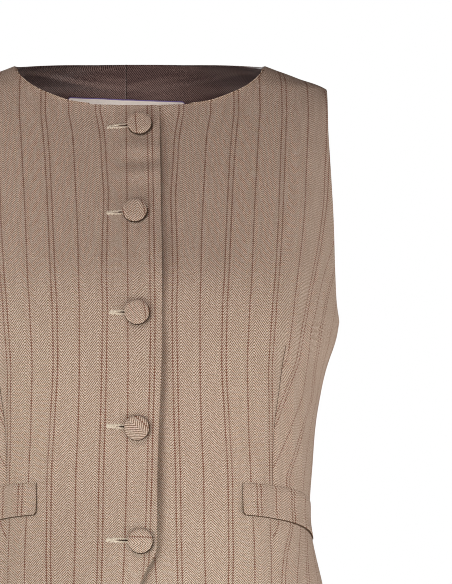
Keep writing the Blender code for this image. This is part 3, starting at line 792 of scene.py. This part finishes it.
def wool_material():
    """Taupe and cream herringbone with double and single red-brown dotted pinstripes."""
    n = Nodes("wool_herringbone")
    (u, v), (pin, _) = n.grain(), n.grain("pin")
    wander = n.noise((u * 3.0, v * 3.0)) * 0.5
    phase = v / TWILL_ALONG - (u + 0.25).zigzag(0.5) / TWILL_ACROSS + wander
    rib = n.ramp(phase.zigzag(0.5), 0.08, 0.42)
    yarn = n.noise((u * 60.0, v * 14.0))
    fleck = n.noise((u * 26.0, v * 22.0, 4.0), 1.0)
    streak = n.noise((u * 9.0, v * 0.7, 9.0))

    dark = n.mix(n.ramp(yarn, 0.3, 0.7), (0.140, 0.068, 0.028), (0.216, 0.109, 0.047))
    light = n.mix(n.ramp(yarn, 0.3, 0.7), (0.735, 0.583, 0.465), (0.955, 0.793, 0.655))
    calm = n.ramp(u, 6.3, 6.9, 1.0, 0.7) * n.ramp(v, 6.0, 9.5, 1.0, 0.74)
    share = (rib + n.ramp(fleck, 0.25, 0.75, -0.36, 0.32) - 0.5) * calm + 0.5
    cloth = n.mix(n.node("ShaderNodeClamp", (share,)), dark, light)
    cloth = n.mix(n.ramp(streak, 0.35, 0.65, 0.0, 0.22), cloth, (0.310, 0.200, 0.135))

    turn = pin.zigzag(1.0)
    line = n.ramp(abs(turn - LINE_OFFSET).lesser(1.0 - turn), 0.016, 0.043, 1.0, 0.0)
    dots = n.ramp((v / TWILL_ALONG).zigzag(0.5), 0.14, 0.40, 1.0, 0.12)
    worn = n.ramp(n.noise((pin * 6.0, v * 2.4, 2.0)), 0.35, 0.6, 0.72, 1.0)
    worn = worn * n.ramp(v, 4.0, 9.0, 1.0, 0.94)
    cloth = n.mix(line * dots * worn, cloth, (0.180, 0.052, 0.028))
    return n.finish({
        "Base Color": cloth, "Roughness": 0.88, "Specular IOR Level": 0.15,
        "Sheen Weight": 0.05, "Sheen Roughness": 0.45, "Sheen Tint": (1.0, 0.88, 0.74),
        "Normal": n.bump(rib * 0.6 + yarn * 0.5, 0.00008, 0.5),
    })


def lining_material():
    """Dark brown satin lining with a fine diagonal rib, painted sheen bands and a painted highlight
    streak under the neck.
    """
    n = Nodes("lining_twill")
    u, v = n.grain()
    side = abs(u)
    rib = n.ramp((u / 0.090 + v / 0.120).zigzag(0.5), 0.05, 0.45)
    # soft bands that vary the dark tone and the roughness, and paint a satin sheen into the light colour
    tone_and_painted_sheen = n.noise((side * 0.22, (v - side * 0.16) * 1.9, 7.0), 1.0)
    thread = n.noise((u * 30.0, v * 30.0))
    # a painted highlight: a streak of light painted into the colour along a curve under the neck,
    # stronger toward the left
    off_curve = abs(v - (side * side * 0.06 + (side * -0.04 + 17.62)))
    streak = n.ramp(off_curve, 0.02, 0.22, 1.0, 0.0) * n.ramp(u, -2.6, -0.9, 0.62, 0.24)
    streak = streak * n.ramp(side, 4.6, 6.8, 1.0, 0.4)
    low = n.mix(n.ramp(tone_and_painted_sheen, 0.42, 0.66), (0.030, 0.015, 0.014), (0.044, 0.024, 0.021))
    high = n.mix(n.ramp(thread, 0.3, 0.7), (0.146, 0.088, 0.079), (0.205, 0.128, 0.115))
    # painted sheen: the bands lighten the rib toward a pale satin colour
    high = n.mix(n.ramp(tone_and_painted_sheen, 0.42, 0.66, 0.0, 0.30), high, (0.560, 0.385, 0.330))
    # the painted highlight lightens both tones along the streak
    low = n.mix(streak, low, (0.085, 0.052, 0.044))
    high = n.mix(streak, high, (0.580, 0.410, 0.355))
    return n.finish({
        "Base Color": n.mix(rib, low, high),
        "Roughness": n.ramp(tone_and_painted_sheen, 0.3, 0.7, 0.36, 0.28),
        "Specular IOR Level": 0.5, "Sheen Weight": 0.08,
        "Normal": n.bump(rib + thread * 0.4, 0.00010, 0.7),
    })


def label_material():
    """Blank cream woven label with a thin violet border."""
    n = Nodes("label_weave")
    u, v = n.grain()
    weave = (u * 40.0).zigzag(1.0) * (v * 34.0).zigzag(1.0)
    thread = n.noise((u * 24.0, v * 70.0))
    cream = n.mix(n.ramp(thread, 0.3, 0.7), (0.90, 0.81, 0.72), (0.97, 0.90, 0.82))
    cream = n.mix(n.ramp(weave, 0.0, 1.0, 0.14, 0.0), cream, (0.55, 0.49, 0.43))
    to_edge = LABEL_HEIGHT / STRIPE_STEP / 2 - abs(v)
    to_end = LABEL_WIDTH / STRIPE_STEP / 2 - abs(u)
    border = n.ramp(to_edge.lesser(to_end), 0.020, 0.040, 1.0, 0.0)
    return n.finish({
        "Base Color": n.mix(border, cream, (0.150, 0.105, 0.300)), "Roughness": 0.6,
        "Normal": n.bump(weave, 0.00012, 0.7),
    })


def thread_material():
    """Cream buttonhole thread: the twist runs round each stitch."""
    n = Nodes("buttonhole_thread")
    u, v = n.grain()
    twist = n.ramp((u + v * 0.6).zigzag(0.5), 0.05, 0.45)
    fuzz = n.ramp(n.noise((u * 2.0, v * 6.0)), 0.3, 0.7)
    low = n.mix(fuzz, (0.56, 0.44, 0.30), (0.72, 0.58, 0.42))
    return n.finish({
        "Base Color": n.mix(twist, low, (0.98, 0.87, 0.71)), "Roughness": 0.6,
        "Sheen Weight": 0.1, "Normal": n.bump(twist, 0.00012, 0.8),
    })


def dark_edge_material(name, low, high):
    """Frayed dark cloth for seams, and for painted shade and shadow: the buttonhole slits' shade, the
    flap edges' shadow line and the plates behind the buttons that stand in for their shadows.
    """
    n = Nodes(name)
    frayed = n.object_noise(3.0, 2400.0)
    return n.finish({
        "Base Color": n.mix(n.ramp(frayed, 0.35, 0.7), low, high),
        "Roughness": 0.95, "Specular IOR Level": 0.05, "Normal": n.bump(frayed, 0.0001, 0.6),
    })


def floor_material():
    n = Nodes("studio_floor")
    return n.finish({
        "Base Color": n.mix(n.object_noise(2.0, 3.0), (0.80, 0.80, 0.80), (0.84, 0.84, 0.84)),
        "Roughness": 0.75, "Emission Color": (1, 1, 1), "Emission Strength": 0.40,
    })


wool, lining = wool_material(), lining_material()
label_weave, thread = label_material(), thread_material()
# painted shade: the dark strip in each buttonhole's slit; the lining's seam thread takes this material
# too
slit = dark_edge_material("buttonhole_slit", (0.030, 0.018, 0.012), (0.085, 0.050, 0.034))
# painted shadow: the dark plate behind each button, which shows as a shadow crescent at its lower right
painted_button_shadow = dark_edge_material("painted_button_shadow", (0.042, 0.026, 0.017), (0.100, 0.062, 0.042))
# dark seam threads, and the flap edges' dark cord, which is partly a painted shadow line under each flap
seam_and_shadow_edge = dark_edge_material("seam_and_shadow_edge", (0.075, 0.045, 0.028), (0.150, 0.095, 0.062))


# ---------------------------------------------------------------- cut pieces

FACING_WIDTH, FACING_DEPTH = 0.062, 0.045  # the wool facing, from the centre and the neckline
LINING_SKIP = 6  # rows of the back that show below the lining's hem
SEAM_SINK, SEAM_RADIUS = 0.0011, 0.00055
FLAP_THIN, FLAP_LIFT, FLAP_END = 0.0005, 0.0003, 0.006  # at its seam; off the cloth; of closer rows
cut = {}  # each cut piece and its outer face


def cut_piece(name, outer, inner, materials, slot, grain, **settings):
    mesh = cloth_mesh(name, outer, inner, grain, **settings)
    cut[name] = new_piece("cloth_" + name, mesh, materials, name), outer


def build_front(name, mirror):
    outer, normals, (inside, outside) = front_half(mirror)
    own_x = outer[..., 0] * (-1 if mirror else 1)
    plain = (own_x >= FACING_WIDTH) & (outer[..., 2] <= top_z(own_x, "front") - FACING_DEPTH)
    cut_piece(
        name, outer, outer - normals * CLOTH, (wool, lining), "wool", inside,
        other_grain=outside, split=DART_COLUMN, inner_slots=plain,
    )


def build_back(name, mirror):
    outer, normals, grain = back_half(mirror)
    inner = outer - normals * CLOTH
    # the inner face and the inner part of the rim take the lining; on the rim its dark colour also
    # paints the shade along the back's top edge
    cut_piece(name, outer, inner, (wool, lining), "wool", grain, inner_slots=1, rim_slot=1)


def lining_relief(points):
    """Soft lengthwise slack of the lining: always inwards, away from the cloth."""
    x, z = points[..., 0], points[..., 2]
    down = eased(-z, -0.010, 0.030)
    pleat = 0.0012 * bump(x, -LINING_SEAM_X - 0.004, 0.005)
    folds = 0.0009 * (1 + soft_noise(x * 1.5 + z * 0.5, z * 0.4, 0.07, 21)) / 2
    slopes = 0.0012 * bump(z + 0.14 * (x + 0.06), 0.0035, 0.0036)
    slopes = slopes * eased(-x, 0.008, 0.030) * eased(x, -0.095, -0.075)
    return (pleat + np.clip(folds, 0, 0.0016)) * down + slopes


def build_linings():
    """The left lining reaches past the centre to the seam, and the right one starts there."""
    seam = STRIPS["back"][0]
    points, normals, grain = back_half(True)
    right = points, normals, grain * (-1, 1, 1)
    shift = 0, 0, (1, 0, 0)
    wide = [
        np.concatenate([own[:, seam::-1] + by, other], axis=1)
        for own, by, other in zip(right, shift, back_half(False))
    ]
    for name, half in (("lining_right", [part[:, seam:] for part in right]), ("lining_left", wide)):
        points, normals, grain = (part[LINING_SKIP:].copy() for part in half)
        width = np.linalg.norm(points[:, 1] - points[:, 0], axis=-1, keepdims=True)
        points[:, 0] += (points[:, 1] - points[:, 0]) * np.minimum(SEAM_GAP / 2 / width, 0.5)
        outer = points - normals * (CLOTH + LAYER_GAP) - normals * lining_relief(points)[..., None]
        x, z = points[..., 0], points[..., 2]
        top = top_z(x, "back")
        outer[..., 2] += (0.0011 + 0.0006 * bump(np.abs(x), 0.080, 0.012)) * eased(z, top - 0.012, top)
        cut_piece(name, outer, outer - normals * LINING, (lining,), "lining", grain, round_by=0.0003)


def build_label():
    across = np.linspace(-0.5, 0.5, 81) * LABEL_WIDTH
    down = np.linspace(1, 0, 37)[:, None] * LABEL_HEIGHT
    into_end = np.clip((np.abs(across) - LABEL_WIDTH / 2 + LABEL_CORNER) / LABEL_CORNER, 0, 1)
    rounded = LABEL_CORNER * (1 - np.sqrt(1 - into_end**2))
    z = LABEL_TOP_Z + LABEL_TILT * across - rounded - down * (1 - 2 * rounded / LABEL_HEIGHT)
    points = on_form(across - LINING_SEAM_X + 0 * down, z, "back")
    normals = outward_normals(points)
    outer = points - normals * (CLOTH + LINING + 2 * LAYER_GAP + lining_relief(points)[..., None])
    wide, high = across / STRIPE_STEP, (LABEL_HEIGHT / 2 - down) / STRIPE_STEP
    inner = outer - normals * LABEL_CLOTH
    grain = stacked(wide, high, wide)
    cut_piece("label", outer, inner, (label_weave,), "label", grain, round_by=0.0002)


def at_height(points, normals, z):
    """Where a column of the grid passes the heights z, and its normals there."""
    return [
        stacked(*(np.interp(z, points[:, 2], column) for column in values.T))
        for values in (points, normals)
    ]


def build_flap(name, mirror):
    """A pocket flap on its front's own form: pressed in at its seam, with rounded turned edges."""
    points, normals = front_face(0.0, False)
    first = STRIPS["front"][0] - 8  # well inside the flap's inner end
    lines = [(points[:, k], normals[:, k]) for k in range(first, points.shape[1])]
    middle = np.array([at_height(*line, FLAP_TOP_Z - FLAP_HEIGHT / 2)[0] for line in lines])
    arcs = run_along(middle)
    start, end = float(np.interp(FLAP_INNER_X, middle[:, 0], arcs)), arcs[-1] - FLAP_END_GAP
    near = np.linspace(0, 1, 9)[:-1] ** 1.3 * FLAP_END
    between = np.linspace(start + FLAP_END, end - FLAP_END, 64)
    stations = np.concatenate([start + near, between, end - near[::-1]])
    parts = ((0, 0.2, 8), (0.2, 0.85, 20), (0.85, 1, 7))
    shares = np.append(np.concatenate([np.linspace(*part)[:-1] for part in parts]), 1)
    outer, inner, grain = np.zeros((3, len(shares), len(stations), 3))
    for k, arc in enumerate(stations):
        low = min(int(np.searchsorted(arcs, arc, side="right")) - 1, len(lines) - 2)
        mix = (arc - arcs[low]) / (arcs[low + 1] - arcs[low])
        run = arc - start
        corner = FLAP_CORNER - min(run, end - arc)
        rounded = FLAP_CORNER - math.sqrt(FLAP_CORNER**2 - corner**2) if corner > 0 else 0.0
        top = FLAP_TOP_Z - FLAP_SLOPE * run - FLAP_BEND * run**2
        height = FLAP_HEIGHT + FLAP_SPREAD * run
        z = top - (height - rounded) * (1 - shares)
        (p0, n0), (p1, n1) = at_height(*lines[low], z), at_height(*lines[low + 1], z)
        facing = unit(n0 * (1 - mix) + n1 * mix)
        ending = eased(end - arc, 0.0, 0.030)
        lift = FLAP_LIFT + 0.0010 * eased(1 - shares, 0.45, 1.0) * ending
        pressed = eased((1 - shares) * height, 0.0, 0.0045)
        thick = FLAP_THIN + (FLAP_CLOTH - FLAP_THIN) * pressed * (0.25 + 0.75 * ending)
        inner[:, k] = p0 * (1 - mix) + p1 * mix + facing * lift[:, None]
        outer[:, k] = inner[:, k] + facing * thick[:, None]
        number = run / STRIPE_STEP + FLAP_GRAIN + 0.18 * eased(run, 0.022, 0.040)
        grain[:, k] = stacked(number, (z - top) / STRIPE_STEP, number)
    if mirror:
        outer, inner = mirrored(outer), mirrored(inner)

    # the turned edge shows as a dark cord along the inner end and the foot, thicker along the foot:
    # partly the flap's edge, partly a painted shadow line under the flap
    edge, facing = (np.concatenate([side[::-1, 0], side[0, 1:]]) for side in (inner, outer - inner))
    facing = unit(facing)
    count = np.arange(len(edge))
    along_foot = eased(count, len(shares) - 4, len(shares) + 4)
    radii = (0.00030 + 0.00034 * along_foot) * (1 - 0.50 * eased(count / len(edge), 0.80, 1.0))
    edge = edge + facing * 0.0002 - stacked(0, 0, 0.00022 * along_foot)
    thread_piece(name + "_edge", edge, radii, facing, seam_and_shadow_edge, 8, 0.9)
    cut_piece(name, outer, inner, (wool,), "wool", grain, round_by=0.00055)


def build_seam(name, path, inward):
    """The pressed seam between two cut pieces, sunk below their faces."""
    thread_piece(name, path + inward * SEAM_SINK, SEAM_RADIUS, inward, seam_and_shadow_edge)


def build_side_seams(side, sign):
    front, back = cut["front_" + side][1], cut["back_" + side][1]
    seam = (front[1:SIDE_ROWS, -1] + back[1:SIDE_ROWS, -1]) / 2
    build_seam("side_seam_" + side, seam, np.tile([-sign, 0.0, 0.0], (len(seam), 1)))

    first = int(np.argmin(np.abs(np.abs(front[-1, :, 0]) - NECK_POINT_X)))
    shoulder = front[-1, first:] * (1, 0, 1)
    rise = np.gradient(shoulder, axis=0)
    down = unit(stacked(rise[:, 2], 0, -rise[:, 0]))
    down *= np.where(down[:, 2:] > 0, -1, 1)
    build_seam("shoulder_seam_" + side, shoulder[1:-1], down[1:-1])

    heights = front[:, DART_COLUMN, 2]
    shown = (heights < DART_TIP_Z) & (heights > FLAP_TOP_Z - 0.004)
    dart, facing = front[shown, DART_COLUMN], outward_normals(front)[shown, DART_COLUMN]
    below = DART_TIP_Z - dart[:, 2]
    taper = 0.00042 * eased(below, -0.003, 0.004) * (1 - 0.45 * eased(below, 0.045, 0.070))
    path = dart - facing * 0.00005
    thread_piece("dart_seam_" + side, path, np.maximum(taper, 0.00008), facing, seam_and_shadow_edge, 8, 0.6)


def build_middle_seams():
    left, right = cut["back_left"][1], cut["back_right"][1]
    inward = -unit(outward_normals(left)[:, 0] * (0, 1, 1))
    build_seam("centre_back_seam", ((left[:, 0] + right[:, 0]) / 2)[1:-1], inward[1:-1])

    left, right = cut["lining_left"][1], cut["lining_right"][1]
    inward = unit(outward_normals(right)[:, 0] * (1, 1, 0))
    path = (right[:, 0] + left[:, 0]) / 2 + inward * 0.0002
    thread_piece("lining_seam", path, 0.00042, inward, slit, 8, 0.8)


build_front("front_left", False)
build_front("front_right", True)
build_back("back_left", False)
build_back("back_right", True)
build_linings()
build_label()
build_side_seams("left", 1.0)
build_side_seams("right", -1.0)
build_middle_seams()
build_flap("flap_left", False)
build_flap("flap_right", True)


# ---------------------------------------------------------------- buttons and buttonholes

def right_front_places(x, z, lift):
    """Points on the overlapping front's outer face, at the frame's x, and the face's normals."""
    centre, normals = front_facing(-x, z, 0.002)
    relief = front_relief(centre, LAYER_LIFT, True) + lift
    points = centre + normals * relief[..., None] + (0, -SEAM_GAP / 2, 0)
    return mirrored(points), mirrored(normals)


# How the cloth was cut for each button: the grain's turn in degrees, the stripe coordinate at the
# button's middle, the place along the warp, and how close the weave looks.
ButtonCut = namedtuple("ButtonCut", "turn stripe along scale")
BUTTON_CUTS = (
    ButtonCut(4.0, 1.14, 0.0, 1.00),
    ButtonCut(14.0, 0.60, 0.3, 1.04),
    ButtonCut(8.0, 1.58, 0.1, 1.00),
    ButtonCut(48.0, 0.70, 0.2, 0.89),
    ButtonCut(88.0, 0.86, 0.5, 0.94),
)
BUTTON_TURNS = np.linspace(0, 2 * math.pi, 72, endpoint=False)
BUTTON_LEAN = (0, -0.35, 0)  # added to the front's normal, so that a button looks forward
TUCK_DEGREES, TUCK_DEPTH = 42, 0.669  # how far the dome runs back under its widest ring
# the dark plate behind each button, shifted toward the lower right: painted shadow that shows as a
# crescent there
SHADOW_PLATE_RADII = np.array([[0.0040], [0.0097], [0.0099], [0.0097], [0.0040]])
SHADOW_PLATE_HEIGHTS = np.array([[0.0010], [0.0010], [0.0014], [0.0018], [0.0018]])
SHADOW_PLATE_SHIFT = (0.00042, -0.00048, 0)  # across, up and forward


def lathe(radii, heights):
    """Rings of points round an axis."""
    return stacked(radii * np.cos(BUTTON_TURNS), radii * np.sin(BUTTON_TURNS), heights)


def weld_tips(mesh):
    """Welds the rings that have closed to a point, so that no face is left without area."""
    made = bmesh.new()
    made.from_mesh(mesh)
    bmesh.ops.remove_doubles(made, verts=made.verts, dist=1e-6)
    made.to_mesh(mesh)
    made.free()


def build_button(number, x, z, cloth):
    """A domed disc covered with the suit's cloth, the cover tucked under its rim."""
    centre, normal = front_facing(x, z, 0.004)
    base = centre + normal * (LAYER_LIFT + SEAM_GAP)
    normal = unit(normal + BUTTON_LEAN)
    across = unit(np.array([1.0, 0.0, 0.0]) - normal * normal[0])
    up = np.cross(normal, across)
    axes = np.stack([across, up, normal])

    # a dark plate, such as closes a covered button behind, lies a little off its centre toward the lower
    # right, where it shows as a painted shadow crescent
    shadow_plate = base + (lathe(SHADOW_PLATE_RADII, SHADOW_PLATE_HEIGHTS) + SHADOW_PLATE_SHIFT) @ axes
    new_piece(f"button_shadow_plate_{number}", ring_mesh(f"button_shadow_plate_{number}", shadow_plate, 0), (painted_button_shadow,))

    angles = np.radians(np.linspace(-TUCK_DEGREES, 90, 25))
    swell = np.append(np.cos(angles[:-1]) ** 0.42, 0)
    dome = (BUTTON_HEIGHT - BUTTON_FOOT_HEIGHT) * (np.sin(angles) + TUCK_DEPTH) / (1 + TUCK_DEPTH)
    foot = (0.0012, BUTTON_FOOT_RADIUS, BUTTON_FOOT_RADIUS), (0, 0, BUTTON_FOOT_HEIGHT)
    radii = np.append(foot[0], BUTTON_RADIUS * swell)[:, None]
    heights = np.append(foot[1], BUTTON_FOOT_HEIGHT + dome)[:, None]
    pleats = 0.012 * np.sin(9 * BUTTON_TURNS + number) + 0.008 * np.sin(14 * BUTTON_TURNS + 2 * number)
    tucked = 1 - eased(heights, BUTTON_FOOT_HEIGHT, BUTTON_FOOT_HEIGHT + 0.0012)
    rings = lathe(radii * (1 + pleats * tucked), heights)
    turn = math.radians(cloth.turn)
    reach = cloth.scale * (1 + 0.10 * (radii / BUTTON_RADIUS) ** 2) / STRIPE_STEP
    a, b = rings[..., 0] * reach, rings[..., 1] * reach
    stripe = cloth.stripe + a * math.cos(turn) + b * math.sin(turn)
    along = cloth.along - a * math.sin(turn) + b * math.cos(turn)
    grain = stacked(stripe, along)
    mesh = ring_mesh(f"button_{number}", base + rings @ axes, 1, grain, ("grain", "pin"))
    weld_tips(mesh)
    new_piece(f"covered_button_{number}", mesh, (wool,), f"button_{number}")


for number, button in enumerate(zip(BUTTON_X, BUTTON_Z, BUTTON_CUTS), start=1):
    build_button(number, *button)


# Each buttonhole: where its far end lies, how far its line falls on the way there, how far the slit
# stops short of it, and the half width of the slit's strip of painted shade.
Hole = namedtuple("Hole", "end_x fall closed slit")
HOLES = (
    Hole(-0.0248, 0.0026, 0.0085, 0.00040),
    Hole(-0.0250, 0.0014, 0.0080, 0.00042),
    Hole(-0.0226, 0.0004, 0.0070, 0.00056),
    Hole(-0.0250, -0.0008, 0.0090, 0.00060),
    Hole(-0.0250, -0.0006, 0.0075, 0.00062),
)
HOLE_HALF, HOLE_START = 0.00095, 0.0060
ROW_SHARE = 0.47  # of the thread's way round the hole, for each of its two rows


def build_buttonhole(number, bx, bz, hole):
    """Two rows of cream stitches that meet beyond the slit's end, and between them a dark strip of
    painted shade in the slit.
    """
    inner_x = bx - HOLE_START

    def middle_z(x):
        return bz - hole.fall * (bx - x) / (bx - hole.end_x)

    def round_hole(count, bulge):
        """Out along the upper row from under the button, round the end, and back along the lower."""
        share = np.linspace(0, 1, count)
        run = np.minimum(np.minimum(share, 1 - share) / ROW_SHARE, 1)
        turn = np.clip((share - ROW_SHARE) / (1 - 2 * ROW_SHARE), 0, 1) * math.pi
        x = inner_x + (hole.end_x - inner_x) * run - bulge * np.sin(turn)
        return share, x, np.cos(turn), x - hole.end_x

    _, x, row, from_end = round_hole(180, 0.0003)
    apart = HOLE_HALF * (0.38 + 0.82 * eased(from_end, 0.0, hole.closed + 0.003))
    jitter = 0.00022 * np.sin(x * 4700 + number) + 0.00016 * np.sin(x * 2600 + 2 * number)
    points, normals = right_front_places(x, middle_z(x) + row * apart + jitter * np.sign(row), 0.00018)
    lengths = run_along(points)
    slimmer = 1 - 0.42 * eased(from_end, hole.closed - 0.001, hole.closed + 0.004)
    twist = 0.14 * np.cos(2 * math.pi * lengths / STITCH_PITCH) + 0.22 * np.sin(lengths * 2900 + number)
    radii = 0.00058 * slimmer * (1 + twist)
    thread_piece(f"buttonhole_{number}", points, radii, normals, thread, 10, 0.65)

    # the stitches' legs, which stand out over the cloth on both sides
    share, x, row, from_end = round_hole(520, 0.0006)
    apart = HOLE_HALF * (0.60 + 0.60 * eased(from_end, 0.0, hole.closed + 0.003))
    spikes = 0.5 + 0.5 * np.sin(share * 2 * math.pi * 41)
    uneven = 1 + 0.45 * np.sin(share * 71 + 3 * number) + 0.30 * np.sin(share * 133 + number)
    fading = 1 - 0.55 * eased(from_end, hole.closed - 0.002, hole.closed + 0.004)
    z = middle_z(x) + row * (apart + 0.00085 * spikes * uneven * fading)
    points, normals = right_front_places(x, z, 0.00022 - 0.00020 * spikes)
    thread_piece(f"buttonhole_stitches_{number}", points, 0.00027, normals, thread, 6, 0.8)

    # the slit: a dark strip of painted shade between the two rows
    x = np.linspace(inner_x, hole.end_x + hole.closed, 40)
    points, normals = right_front_places(x, middle_z(x), 0.00022)
    widths = hole.slit * np.sqrt(np.clip(np.linspace(1.3, 0.02, 40), 0, 1))
    thread_piece(f"buttonhole_slit_{number}", points, widths, normals, slit, 8, 0.6)


for number, buttonhole in enumerate(zip(BUTTON_X, BUTTON_Z, HOLES), start=1):
    build_buttonhole(number, *buttonhole)


# ---------------------------------------------------------------- sheets: each cloth piece's flat size and area, worked out here and not used further

for name, held, rests_on in (
    ("front_left", "hung", ["back_left"]),
    ("front_right", "hung", ["back_right", "front_left"]),
    ("back_left", "hung", ["front_left"]),
    ("back_right", "hung", ["front_right"]),
    ("lining_right", "laid", ["back_right"]),
    ("lining_left", "laid", ["back_left"]),
    ("label", "laid", ["lining_left"]),
    ("flap_left", "laid", ["front_left"]),
    ("flap_right", "laid", ["front_right"]),
):
    # the flat pattern piece: the box of the face's arc lengths, and its own area
    piece, face = cut[name]
    flat = tuple(round(float(spans(face, k).sum(axis=k).max()), 3) for k in (1, 0))
    diagonals = face[1:, 1:] - face[:-1, :-1], face[1:, :-1] - face[:-1, 1:]
    area = float(np.linalg.norm(np.cross(*diagonals), axis=-1).sum() / 2)
    area = min(area, flat[0] * flat[1])


# ---------------------------------------------------------------- studio

FLOOR_Z, FLOOR_RADIUS, FLOOR_SIDES = -0.640, 1.7, 96


def studio_floor():
    ring = np.linspace(0, 2 * math.pi, FLOOR_SIDES, endpoint=False)
    rim = [(FLOOR_RADIUS * math.cos(a), FLOOR_RADIUS * math.sin(a), FLOOR_Z) for a in ring]
    faces = [(0, 1 + k, 1 + (k + 1) % FLOOR_SIDES) for k in range(FLOOR_SIDES)]
    mesh = bpy.data.meshes.new("studio_floor")
    mesh.from_pydata([(0, 0, FLOOR_Z), *rim], [], faces)
    mesh.materials.append(floor_material())
    new_object("studio_floor", mesh)


def light(name, place, target, size, energy, colour=(1, 1, 1)):
    """An area light of the given sides, or a spot of the given angle in degrees."""
    spot = isinstance(size, float)
    data = bpy.data.lights.new(name, "SPOT" if spot else "AREA")
    data.energy, data.color = energy, colour
    if spot:
        data.spot_size, data.spot_blend, data.shadow_soft_size = math.radians(size), 0.8, 0.03
    else:
        data.shape = "RECTANGLE"
        data.size, data.size_y = size
    lamp = new_object(name, data)
    lamp.location = place
    lamp.rotation_mode = "QUATERNION"
    lamp.rotation_quaternion = (Vector(target) - Vector(place)).to_track_quat("-Z", "Y")
    lamp.visible_camera = spot


studio_floor()
MIDDLE = (0.0, -0.06, -0.22)
NAPE = (-0.005, 0.066, -0.008)
ROSY = (1.0, 0.896, 0.922)
for lamp in (
    ("key", (-1.00, -1.50, 0.70), MIDDLE, (0.60, 0.60), 0.78, ROSY),
    ("key_level", (-1.25, -1.45, 0.20), MIDDLE, (0.55, 0.55), 0.47, ROSY),
    ("front_top", (-0.30, -1.70, 0.60), MIDDLE, (0.80, 0.80), 0.44, ROSY),
    ("collar", (-0.20, -0.84, 0.47), (0.0, 0.0, -0.08), (0.30, 0.30), 2.60, ROSY),
    ("nape", (-0.10, -0.90, 0.28), NAPE, 6.4, 14.5),
    ("low_left", (-0.64, -0.76, -0.40), MIDDLE, (0.60, 0.16), 3.13, (0.97, 0.995, 1.0)),
    ("hem", (0.10, -1.60, -0.58), (0.05, -0.10, -0.415), 8.0, 15.5, (0.80, 0.99, 1.0)),
    ("low_right", (0.60, -0.76, -0.44), MIDDLE, (0.60, 0.16), 1.60, (0.975, 0.970, 0.970)),
    ("low_side", (1.00, -0.35, -0.50), MIDDLE, (0.40, 0.20), 2.90, (1.0, 0.950, 0.955)),
    ("back_light", (-0.70, 1.90, 0.90), MIDDLE, (1.60, 1.40), 17.0),
):
    light(*lamp)

# The world is white to the camera, and only a faint light on the cloth.
world = bpy.data.worlds.new("studio")
scene.world = world
world.use_nodes = True
tree = world.node_tree
background = tree.nodes["Background"]
background.inputs["Color"].default_value = (1, 1, 1, 1)
seen = tree.nodes.new("ShaderNodeLightPath")
strength = tree.nodes.new("ShaderNodeMix")
strength.inputs[2].default_value = 0.03
strength.inputs[3].default_value = 1.0
tree.links.new(seen.outputs["Is Camera Ray"], strength.inputs[0])
tree.links.new(strength.outputs[0], background.inputs["Strength"])

scene.view_settings.view_transform = "Standard"
scene.view_settings.look = "None"
scene.cycles.filter_width = 1.0
scene.cycles.use_denoising = True

# The photograph's frame is 452 by 584 pixels, and the garment's centre line is left of its middle.
FRAME_WIDE, FRAME_HIGH = 452, 584
FOCAL_PIXELS, SENSOR_WIDTH = 3750, 36
CENTRE_LINE_PIXEL, EYE_LEVEL_PIXEL = 139.7, 360.0
camera_data = bpy.data.cameras.new("camera")
camera_data.sensor_fit = "AUTO"
camera_data.sensor_width = SENSOR_WIDTH
camera_data.lens = FOCAL_PIXELS * SENSOR_WIDTH / FRAME_HIGH
camera_data.shift_x = (FRAME_WIDE / 2 - CENTRE_LINE_PIXEL) / FRAME_HIGH
camera_data.shift_y = (EYE_LEVEL_PIXEL - FRAME_HIGH / 2) / FRAME_HIGH
camera_data.clip_start, camera_data.clip_end = 0.05, 50
camera = new_object("camera", camera_data)
camera.location = (0.0, -3.0, -0.2255)
camera.rotation_euler = (math.pi / 2, 0, 0)
scene.camera = camera

bpy.context.view_layer.update()
